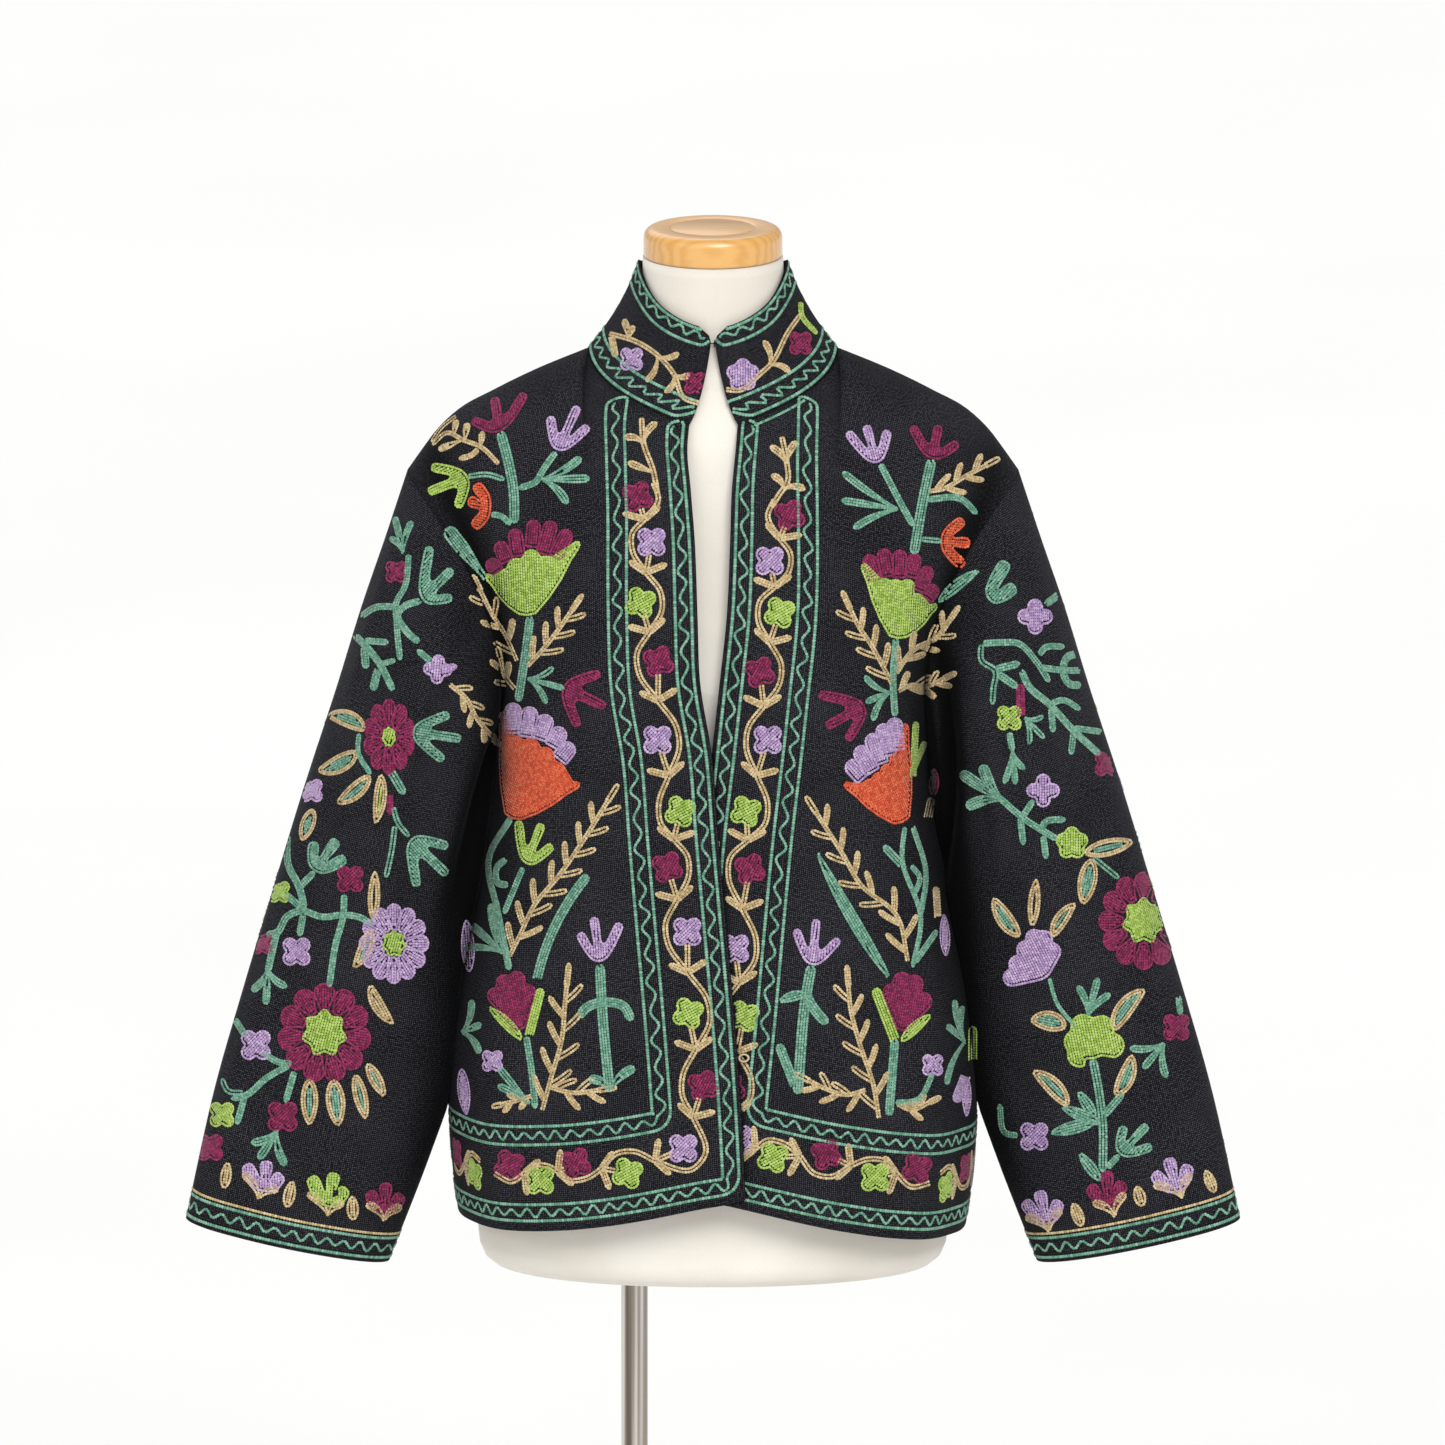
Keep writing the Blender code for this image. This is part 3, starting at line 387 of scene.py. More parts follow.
# The marks of the materials, in marks a metre or as shares of the colour's change. A bump is a
# strength and a depth in metres.
YARN_BANDS = 200.0
YARN_TWIST = 1.2
FLECK_SCALE = 620.0
PATCH_SCALE = 14.0
PATCH_SHARE = 0.28
CLOTH_BUMP = (0.5, 0.0005)
FIBRE_SCALE = 1400.0
FIBRE_SHARE = 0.45
DYE_SCALE = 28.0
DYE_SHARE = 0.35
TONE_SHARE = 0.55
THREAD_BUMP = (0.35, 0.0003)
RIB_SCALE = 900.0
RIB_SHARE = 0.35
CLOUD_SCALE = 9.0
JERSEY_BUMP = (0.25, 0.0004)
RING_SCALE = (3.0, 22.0, 22.0)
RING_START = (0, 0.9, 0.3)
PORE_SCALE = (60.0, 900.0, 900.0)
PORE_SHARE = 0.45
WOOD_BUMP = (0.12, 0.0002)
# Scales of the chrome's bands, which set its roughness and its painted reflections
DRAWN_SCALE = (170.0, 170.0, 1.2)
TURNED_SCALE = (5.0, 5.0, 60.0)
CHROME_ROUGHNESS = (0.10, 0.24)
RUB_SCALE = 700.0
FLOOR_SCALE = 1.3

# Painted shade: how far cloth and thread are painted darker in folds and hollows, and how wide a fold
# they see
FOLD_REACH = 0.11
FOLD_SAMPLES = 4
FOLD_SHADE_DARKEST = 0.12
PAINTED_SHADE_DARK = 0.94
CLOTH_FOLD_SHADE = (0.58, 0.90)
THREAD_FOLD_SHADE = (0.20, 0.76)

# Which grids run the other way round, and which of their borders are sewn to a neighbour
FLIPS = {
    "front_right": True, "front_left": False, "back_right": False, "back_left": True,
    "sleeve_right": True, "sleeve_left": False, "collar": True,
}
SEAMS = dict.fromkeys(("front_right", "front_left"), ("last_row", "last_column"))
SEAMS |= dict.fromkeys(("back_right", "back_left"), ("last_row", "first_column", "last_column"))
SEAMS |= dict.fromkeys(("sleeve_right", "sleeve_left", "collar"), ("first_row",))

# The studio
FLOOR_REACH = 60.0
LIGHT_AIM = 1.1
LIGHT_DISTANCE = 3.0
WORLD_COLOUR = "#ffffff"
WORLD_STRENGTH = 0.42
LIGHTS = (
    ("key", 14, 42, 30, 2.1),
    ("fill", -40, 30, 50, 0.5),
    ("behind", 200, 40, 50, 0.6),
)

# Chain stitch: one link's corners as shares of its length, width and height, and its faces
STITCH_POINTS = (
    (0.00, 0.00, 0.25), (0.45, 0.50, 0.00), (0.45, -0.50, 0.00), (0.90, 0.40, 0.00),
    (0.90, -0.40, 0.00), (0.50, 0.27, 1.00), (0.50, -0.27, 1.00), (0.55, 0.00, 0.45),
    (1.00, 0.00, 0.50),
)
STITCH_FACES = (
    (0, 5, 1), (1, 5, 3), (3, 5, 8), (5, 7, 8), (0, 7, 5),
    (0, 2, 6), (2, 4, 6), (4, 8, 6), (6, 8, 7), (0, 6, 7),
)
PITCH = 0.0022
STITCH_OVERLAP = 1.35
STITCH_WIDTH = 0.0023
STITCH_HEIGHT = 0.0010
STITCH_SUNK = 0.0002
STITCH_VARIES = (0.94, 1.06)
STRIP_WIDTH = 1.25
WAVE_WIDTH = 1.08
SEED = 11

# Rows of stitches in millimetres: how far apart, and how far inside a shape's outline. The shares
# say how far a row keeps clear of its neighbours and of the outline.
ROW_SPACING = 2.0
ROW_INSET = 1.0
MOST_STRETCH = 2.2
SEARCH_STEP = 1.2
EDGE_STEP = 0.6
LINE_STEP = 0.5
CURVE_STEPS = 16
PROBE = 3.0
MOST_PLAIN_ROWS = 3
PLAIN_ROW_FROM = 0.8
ROW_CLEAR = 0.55
RING_OVERLAP = 0.5
RING_SHARE = 0.93
WIDEST_JUMP = 2.6
SHORTEST_ROW = 1.6
SHORTEST_LINK = 0.2
LONGEST_STEP = 0.0045
LAY_MISS = 0.0006
SIGHT_START = 0.6
SIGHT_REACH = 1.5
STEEPEST_SIGHT = 0.10
SMALLEST = 1e-9

# Motifs, in pixels of the photograph or shares of their size, and in degrees
NARROW = 11.0
BOW_STEPS = 7
LEAF_FULLEST = 0.9
LEAF_BLUNT = 0.55
LEAF_RINGS = 2
CLUB_FOOT = 0.42
CLUB_SWELL = 0.58
CLUB_FULL = 0.7
HAND_TURN = 40
HAND_BEND = 0.16
TULIP_FOOT = ((0.12, 0.75), (0.42, 1.15))
TULIP_PRONG = ((0.9, -1.02), (0.0, -0.72), (0.0, 0.72), (0.9, 1.02))
SCALLOP = 0.54
WIDEST_LOBE = 0.96
FOOT_DEPTH = 0.2
LOBE_PLACES = 12
VALLEY = 0.32
FAN_GAP = 1.0
FAN_FOOT = 9.0
FAN_BOW = 5.0
FAN_SIDE = 9.0
BLOSSOM = 17.0
BLOSSOM_TURN = 45
BLOSSOM_PLACES = 56
PETAL_OUT = 0.56
PETAL_REACH = 1.02
PETAL_SHARE = 0.88
HEART_COVERS = 0.9
HEART_PLACES = 60
HEART_LOBES = 7
HEART_MEAN = 0.95
HEART_WAVE = 0.12
HEART_TURN = 15
SPRIG_STEM = 5.0
SPRIG_LEAFLET = 6.6
SPRIG_LONG = 1.25
SPRIG_TAPER = 0.25
SPRIG_SPREAD = 40
SPRIG_START = 0.8
SPRIG_BEND = 0.05
VINE_WIDTH = 6.0
VINE_BULGE = 21.0
VINE_PASS = 9.0
VINE_FINGERS = ((-58, 22.0), (66, 19.8))
VINE_BEND = 0.40
VINE_TURN = 17
STALK_INTO = 0.8
FINGER_WIDTH = 7.4

THREADS = {
    "green": ("#487a65", "#6fa48b", "#99c0ab"),
    "lime": ("#7fa038", "#a8c65a", "#c3d880"),
    "lilac": ("#947aa8", "#b899c6", "#d8c1e0"),
    "maroon": ("#5c0f30", "#861e4f", "#a83268"),
    "orange": ("#b93f1e", "#de5a35", "#ef8055"),
    "tan": ("#9c845a", "#cbb283", "#e2cfa6"),
}


# The border strips, in metres: their middle line's distance from the edge, and half their width
EDGE_STRIP = (0.0102, 0.0062)
SIDE_STRIP = (0.0600, 0.0070)
HEM_STRIP = (0.0140, 0.0085)
UPPER_HEM_STRIP = (0.0730, 0.0080)
HEM_VINE = 0.0440
STRIP_TOP = 0.006
CORNER_ROUND = 0.007
WAVE_PERIOD = 0.0212
LEVEL_WAVE_PERIOD = 0.0135
WAVE_SWING = 0.0030
WAVE_DRIFT = 0.5
WAVE_DRIFT_RATE = 47.0
WAVE_SWELL = 0.22
WAVE_SWELL_RATE = 131.0
STRIP_FLARE = 0.0050
FLARE_LENGTH = 0.16
FLARE_POWER = 1.5
STRIP_SMOOTHING = 4
BOW_PLACES = 9
COLLAR_LOW_STRIP = (0.0105, 0.0080)
COLLAR_TOP_STRIP = (0.0108, 0.0080)
COLLAR_END = 0.005
CUFF_STRIP = (0.0120, 0.0080)
CUFF_LINE = 0.0235

# Motifs as the photograph shows them, by its columns and rows of pixels: their kind, colours,
# places and widths in pixels. HALF is the right front, and the back has it twice. Pairs and threes of
# colours go from a flower's cup to its petals, from its petals to its heart, or inwards in a leaf.
TAN_GREEN = ("tan", "tan", "green")
TAN_LIME = ("tan", "tan", "lime")
ALL_TAN = ("tan", "tan", "tan")
LIME_MAROON, ORANGE_LILAC = ("lime", "maroon"), ("orange", "lilac")
MAROON_LIME, LILAC_LIME = ("maroon", "lime"), ("lilac", "lime")
HALF = (
    ("stem", "green", 10.5, (499, 430), (506, 456), (512, 487), (513, 522)),
    ("stem", "green", 7, (555, 450), (541, 470), (536, 479), (518, 487)),
    ("stem", "green", 6, (466, 475), (486, 473), (503, 478)),
    ("stem", "green", 6.5, (489, 513), (500, 515), (509, 523)),
    ("stem", "green", 8.5, (529, 616), (524, 655), (517, 701)),
    ("fan", LIME_MAROON, (526, 614), (485, 573), ((502, 568), (513, 557), (531, 548), (549, 555)),
     (578, 540), ((487, 558), (497, 540), (513, 527), (533, 518), (551, 519), (568, 528)), 16),
    ("fan", ORANGE_LILAC, (511, 818), (501, 710), ((514, 735), (532, 738), (549, 748), (562, 764)),
     (579, 783), ((512, 702), (530, 706), (547, 714), (562, 727), (572, 743)), 19),
    ("tulip", "maroon", (499, 430), ((470, 418), (493, 395), (524, 391))),
    ("tulip", "lime", (467, 474), ((429, 465), (426, 491), (456, 507))),
    ("tulip", "orange", (488, 506), ((474, 482), (466, 499), (472, 527)), 13),
    ("tulip", "lilac", (556, 451), ((549, 414), (577, 404), (588, 424))),
    ("hand", "green", (541, 478), ((580, 456), (588, 477), (566, 502)), 9),
    ("hand", "green", (526, 678), ((552, 667), (563, 688), (545, 703)), 6.5),
    ("tulip", "maroon", (561, 686), ((600, 673), (605, 707), (577, 727))),
    ("tulip", "lime", (524, 867), ((517, 821), (541, 824), (552, 846))),
    ("tulip", "lilac", (599, 966), ((578, 934), (593, 918), (620, 924))),
    ("hand", "green", (484, 577), ((445, 527),), 15),
    ("stem", "tan", 5, (498, 463), (479, 445), (461, 438), (446, 431), (431, 443)),
    ("hand", "tan", (479, 446), ((481, 430),), 7),
    ("hand", "tan", (463, 439), ((466, 421),), 7),
    ("hand", "tan", (452, 434), ((455, 418),), 6),
    ("stem", "tan", 6, (477, 447), (471, 453), (458, 457)),
    ("hand", "tan", (459, 439), ((437, 448),), 7),
    ("stem", "tan", 5, (455, 414), (440, 426), (430, 440)),
    ("sprig", 7, 20, (526, 666), (541, 650), (556, 631), (572, 608)),
    ("sprig", 6, 18, (516, 661), (505, 636), (490, 612), (478, 588)),
    ("sprig", 4, 14, (514, 689), (504, 676), (499, 658)),
    ("stem", "green", 6, (510, 818), (488, 858), (497, 915), (508, 971)),
    ("stem", "green", 6, (522, 868), (512, 892), (503, 914)),
    ("stem", "green", 6, (505, 860), (496, 868), (497, 884), (507, 886)),
    ("sprig", 15, 21, (508, 958), (518, 938), (534, 905), (556, 879), (580, 845), (608, 800)),
    ("leaf", "green", (536, 980), (587, 876), 10, 14),
    ("hand", "green", (501, 954), ((470, 926), (490, 905), (462, 950)), 8),
    ("sprig", 9, 23, (541, 1113), (550, 1080), (561, 1040), (564, 1005), (566, 985)),
    ("sprig", 5, 19, (547, 1089), (572, 1095), (600, 1092)),
    ("scallop", "maroon", (519, 1031), ((489, 990), (500, 976), (515, 972), (528, 985)), 6),
    ("leaf", "lime", (521, 1042), (487, 1009), 12, -3),
    ("leaf", "lime", (528, 1037), (540, 990), 9.5, 0),
    ("stem", "green", 7, (525, 1038), (530, 1070), (534, 1110)),
    ("stem", "green", 10.5, (599, 966), (602, 1020), (609, 1094)),
    ("stem", "green", 10, (578, 1019), (585, 1010), (604, 1004), (623, 1008), (631, 1022)),
    ("hand", "green", (610, 1092), ((588, 1081), (634, 1070)), 10),
    ("hand", "green", (529, 1106), ((498, 1070), (497, 1088)), 8),
    ("sprig", 4, 11, (531, 1098), (515, 1103), (499, 1107)),
    ("blossom", "lilac", (491, 1063), 13),
    ("hand", "green", (461, 1034), ((470, 1002), (480, 1026), (478, 1055)), 7),
)
RIGHT_HALF = (
    ("stem", "green", 10.5, (933, 458), (925, 495), (915, 553)),
    ("stem", "green", 7, (881, 462), (903, 504), (914, 524)),
    ("stem", "green", 7, (928, 498), (963, 498), (978, 512)),
    ("stem", "green", 6, (922, 538), (943, 540)),
    ("stem", "green", 7, (897, 638), (894, 683), (896, 716)),
    ("fan", LIME_MAROON, (899, 637), (864, 562), ((883, 577), (896, 578), (910, 578), (922, 593)),
     (938, 603), ((868, 553), (884, 547), (901, 548), (917, 552), (931, 565), (938, 584)), 16),
    ("fan", ORANGE_LILAC, (903, 822), (845, 783), ((865, 781), (876, 773), (886, 764), (897, 752)),
     (906, 723), ((848, 761), (858, 746), (871, 733), (883, 723), (895, 717)), 18),
    ("tulip", "lilac", (878, 464), ((848, 430), (867, 423), (889, 428))),
    ("tulip", "maroon", (933, 458), ((913, 424), (940, 423), (960, 441))),
    ("tulip", "orange", (942, 540), ((965, 518), (972, 542), (965, 566)), 12.5),
    ("hand", "green", (899, 508), ((844, 471), (843, 499), (855, 527)), 8),
    ("leaf", "green", (939, 602), (981, 569), 12, 4),
    ("hand", "green", (891, 692), ((866, 676), (867, 702), (874, 720)), 7),
    ("tulip", "maroon", (868, 705), ((819, 694), (826, 727), (848, 741))),
    ("sprig", 6, 17, (930, 490), (946, 487), (963, 477), (989, 463)),
    ("sprig", 8, 20, (893, 684), (884, 666), (873, 646), (858, 623), (850, 606)),
    ("sprig", 8, 17, (897, 673), (914, 650), (939, 636), (952, 618)),
    ("sprig", 7, 15, (899, 691), (912, 685), (927, 686), (946, 678)),
    ("leaf", "lime", (914, 777), (917, 722), 6.5, 0),
    ("leaf", "lime", (915, 768), (926, 742), 6, 0),
    ("leaf", "maroon", (934, 798), (936, 768), 12, 0),
    ("leaf", "tan", (929, 818), (933, 798), 10, 0),
    ("sprig", 13, 21, (909, 963), (898, 917), (861, 885), (844, 856), (816, 812)),
    ("leaf", "green", (891, 980), (817, 852), 13, 5),
    ("tulip", "lilac", (812, 969), ((796, 930), (817, 920), (840, 940)), 9.5),
    ("stem", "green", 11, (812, 967), (807, 995), (798, 1096)),
    ("leaf", "green", (807, 996), (779, 1004), 11, -4),
    ("leaf", "green", (806, 994), (828, 1025), 10.5, -5),
    ("leaf", "green", (795, 1087), (779, 1046), 10, 0),
    ("sprig", 10, 21, (880, 1121), (874, 1086), (861, 1047), (851, 1008), (849, 985)),
    ("sprig", 6, 18, (867, 1092), (848, 1097), (822, 1089), (808, 1082)),
    ("scallop", "maroon", (903, 1032), ((890, 985), (903, 973), (918, 976), (930, 995)), 6),
    ("leaf", "lime", (896, 1042), (876, 990), 10.5, 0),
    ("leaf", "lime", (902, 1044), (933, 1016), 12, 3),
    ("stem", "green", 9, (896, 1041), (890, 1118)),
    ("stem", "green", 6, (896, 1105), (919, 1102), (934, 1076)),
    ("blossom", "lilac", (934, 1067), 13),
    ("sprig", 4, 13, (898, 1106), (912, 1112), (932, 1104)),
    ("stem", "green", 5, (906, 827), (903, 856), (922, 921), (914, 968)),
    ("stem", "green", 5, (914, 827), (927, 875), (922, 915)),
    ("stem", "green", 5, (912, 866), (921, 879), (916, 894)),
    ("leaf", "green", (903, 866), (885, 847), 8, 0),
    ("stem", "green", 6, (916, 964), (938, 932)),
    ("leaf", "tan", (939, 918), (937, 888), 7, 0),
    ("leaf", "lilac", (947, 958), (945, 914), 12, 0),
    ("hand", "green", (966, 1044), ((956, 1002), (964, 1008), (948, 1027), (948, 1086)), 6),
    ("leaf", "lime", (974, 1062), (974, 1028), 10, 0),
    ("leaf", "lilac", (967, 1078), (957, 1104), 10, 0),
    ("leaf", "lilac", (968, 1078), (968, 1120), 11, 0),
)
SIDE_LEFT = (
    ("blossom", "lilac", (436, 669), 15, 4, 5),
    ("leaf", "lilac", (440, 669), (455, 666), 8, 0),
    ("sprig", 7, 14, (448, 684), (466, 700), (474, 716), (492, 738)),
    ("leaf", "lilac", (468, 974), (465, 920), 15, 0),
    ("leaf", "lilac", (460, 1070), (465, 1118), 14, 0),
)
COLLAR_FLOWERS = (
    ("stem", "tan", 5.5, (608, 331), (637, 340), (657, 353), (673, 371), (684, 396), (701, 402)),
    ("hand", "tan", (628, 338), ((623, 317), (634, 324)), 7),
    ("hand", "tan", (657, 354), ((678, 351), (646, 379)), 7),
    ("hand", "tan", (674, 372), ((689, 372), (665, 390)), 7),
    ("leaf", "tan", (611, 334), (615, 355), 7, 0),
    ("leaf", "lime", (612, 306), (622, 285), 5, 0),
    ("blossom", "lilac", (631, 357), 14),
    ("blossom", "maroon", (695, 381), 13.5),
    ("stem", "tan", 5.5, (722, 387), (741, 388), (759, 373), (771, 362), (789, 329), (801, 312)),
    ("hand", "tan", (770, 363), ((764, 339), (790, 370)), 7),
    ("blossom", "lilac", (743, 373), 17, 5, 0),
    ("blossom", "maroon", (801, 341), 14),
    ("stem", "lime", 5, (801, 299), (802, 312), (817, 331)),
)
SLEEVE_LEFT = (
    ("hand", "green", (401, 552), ((393, 516), (388, 537), (410, 520)), 7),
    ("stem", "green", 6, (407, 553), (402, 588), (395, 600), (395, 625), (398, 659)),
    ("blossom", "maroon", (394, 571), 13),
    ("tulip", "green", (419, 600), ((428, 545), (451, 568), (451, 597))),
    ("stem", "green", 7, (419, 600), (402, 606), (396, 613), (404, 630), (417, 642)),
    ("stem", "green", 7, (359, 616), (373, 607), (394, 606)),
    ("stem", "green", 7, (352, 634), (363, 645), (378, 664), (391, 690)),
    ("stem", "green", 7, (362, 640), (386, 642)),
    ("stem", "green", 8, (362, 646), (364, 668)),
    ("stem", "green", 8, (376, 668), (371, 690)),
    ("stem", "green", 6, (378, 664), (393, 660)),
    ("leaf", "green", (429, 661), (416, 650), 7, 0),
    ("daisy", MAROON_LIME, (387, 737), (27, 39), 10, 0.28),
    ("tulip", "green", (408, 731), ((448, 714), (460, 739), (442, 761))),
    ("leaf", "green", (389, 772), (402, 794), 9, 0),
    ("leaf", "maroon", (388, 795), (388, 815), 7, 0),
    ("stem", "green", 6, (391, 807), (396, 823), (407, 837)),
    ("tulip", "green", (407, 838), ((447, 847), (446, 876), (415, 888))),
    ("stem", "green", 6, (393, 826), (390, 850), (384, 878)),
    ("leaf", TAN_GREEN, (363, 731), (325, 716), 18, -10),
    ("leaf", TAN_GREEN, (355, 751), (315, 771), 19, 8),
    ("leaf", TAN_GREEN, (368, 775), (334, 804), 17, 6),
    ("leaf", TAN_LIME, (379, 774), (373, 825), 14, 4),
    ("stem", "green", 5, (357, 733), (356, 752), (368, 774)),
    ("blossom", "lilac", (309, 791), 14),
    ("leaf", TAN_GREEN, (311, 809), (299, 842), 16, 0),
    ("stem", "green", 7, (285, 836), (286, 866), (297, 889), (302, 910)),
    ("tulip", "green", (312, 873), ((311, 842), (335, 840), (344, 859)), 13),
    ("stem", "green", 7, (296, 889), (312, 873)),
    ("blossom", "lime", (277, 893), 13),
    ("stem", "green", 7, (283, 895), (299, 909)),
    ("stem", "green", 7, (300, 911), (320, 918), (343, 916), (359, 919), (370, 926)),
    ("stem", "green", 7, (302, 910), (284, 918), (274, 934), (264, 936)),
    ("stem", "green", 7, (275, 930), (269, 955), (265, 973)),
    ("hand", "green", (265, 970), ((249, 992), (263, 1006), (284, 988)), 8),
    ("stem", "green", 7, (301, 914), (297, 937)),
    ("blossom", "lilac", (294, 953), 17),
    ("blossom", "maroon", (260, 945), 13),
    ("blossom", "maroon", (348, 880), 16),
    ("stem", "green", 7, (342, 895), (341, 916), (333, 947), (327, 988)),
    ("leaf", TAN_GREEN, (371, 922), (373, 871), 13, 0),
    ("leaf", TAN_GREEN, (369, 929), (351, 970), 15, 6),
    ("daisy", LILAC_LIME, (392, 945), (36, 41), 12, 0.34),
    ("leaf", ALL_TAN, (368, 986), (392, 1026), 14, -8),
    ("daisy", MAROON_LIME, (322, 1035), (48, 51), 11, 0.46),
    ("leaf", TAN_GREEN, (307, 1080), (307, 1128), 18, 0),
    ("leaf", TAN_GREEN, (331, 1081), (336, 1129), 20, 0),
    ("leaf", TAN_GREEN, (353, 1076), (364, 1122), 15, 0),
    ("leaf", TAN_GREEN, (365, 1065), (383, 1099), 14, 0),
    ("stem", "green", 7, (290, 1065), (279, 1065), (260, 1055)),
    ("blossom", "lilac", (253, 1047), 18),
    ("stem", "green", 6, (232, 1021), (243, 1038)),
    ("stem", "green", 7, (287, 1067), (264, 1080), (242, 1098), (229, 1101)),
    ("stem", "green", 7, (242, 1098), (234, 1126)),
    ("stem", "green", 6, (241, 1095), (225, 1093), (219, 1081)),
    ("stem", "green", 7, (292, 1073), (283, 1104)),
    ("blossom", "maroon", (280, 1119), 18),
    ("hand", "green", (274, 1133), ((249, 1145), (256, 1161), (283, 1168)), 9),
    ("blossom", "lime", (219, 1117), 15),
    ("blossom", "maroon", (207, 1150), 16),
    ("tulip", "lilac", (262, 1194), ((242, 1167), (264, 1163), (280, 1177)), 15),
    ("tulip", "lime", (326, 1210), ((308, 1179), (332, 1175), (345, 1191)), 15),
    ("tulip", "maroon", (383, 1217), ((366, 1194), (384, 1185), (401, 1197)), 15),
    ("hand", "tan", (256, 1201), ((240, 1176), (276, 1192)), 9.5),
    ("hand", "tan", (326, 1218), ((305, 1196), (342, 1206)), 9.5),
    ("hand", "tan", (382, 1223), ((364, 1207), (400, 1210)), 9.5),
    ("leaf", "tan", (221, 1192), (225, 1164), 12, 0),
    ("leaf", "tan", (284, 1211), (290, 1183), 13, 0),
    ("leaf", "tan", (351, 1224), (350, 1198), 13, 0),
)
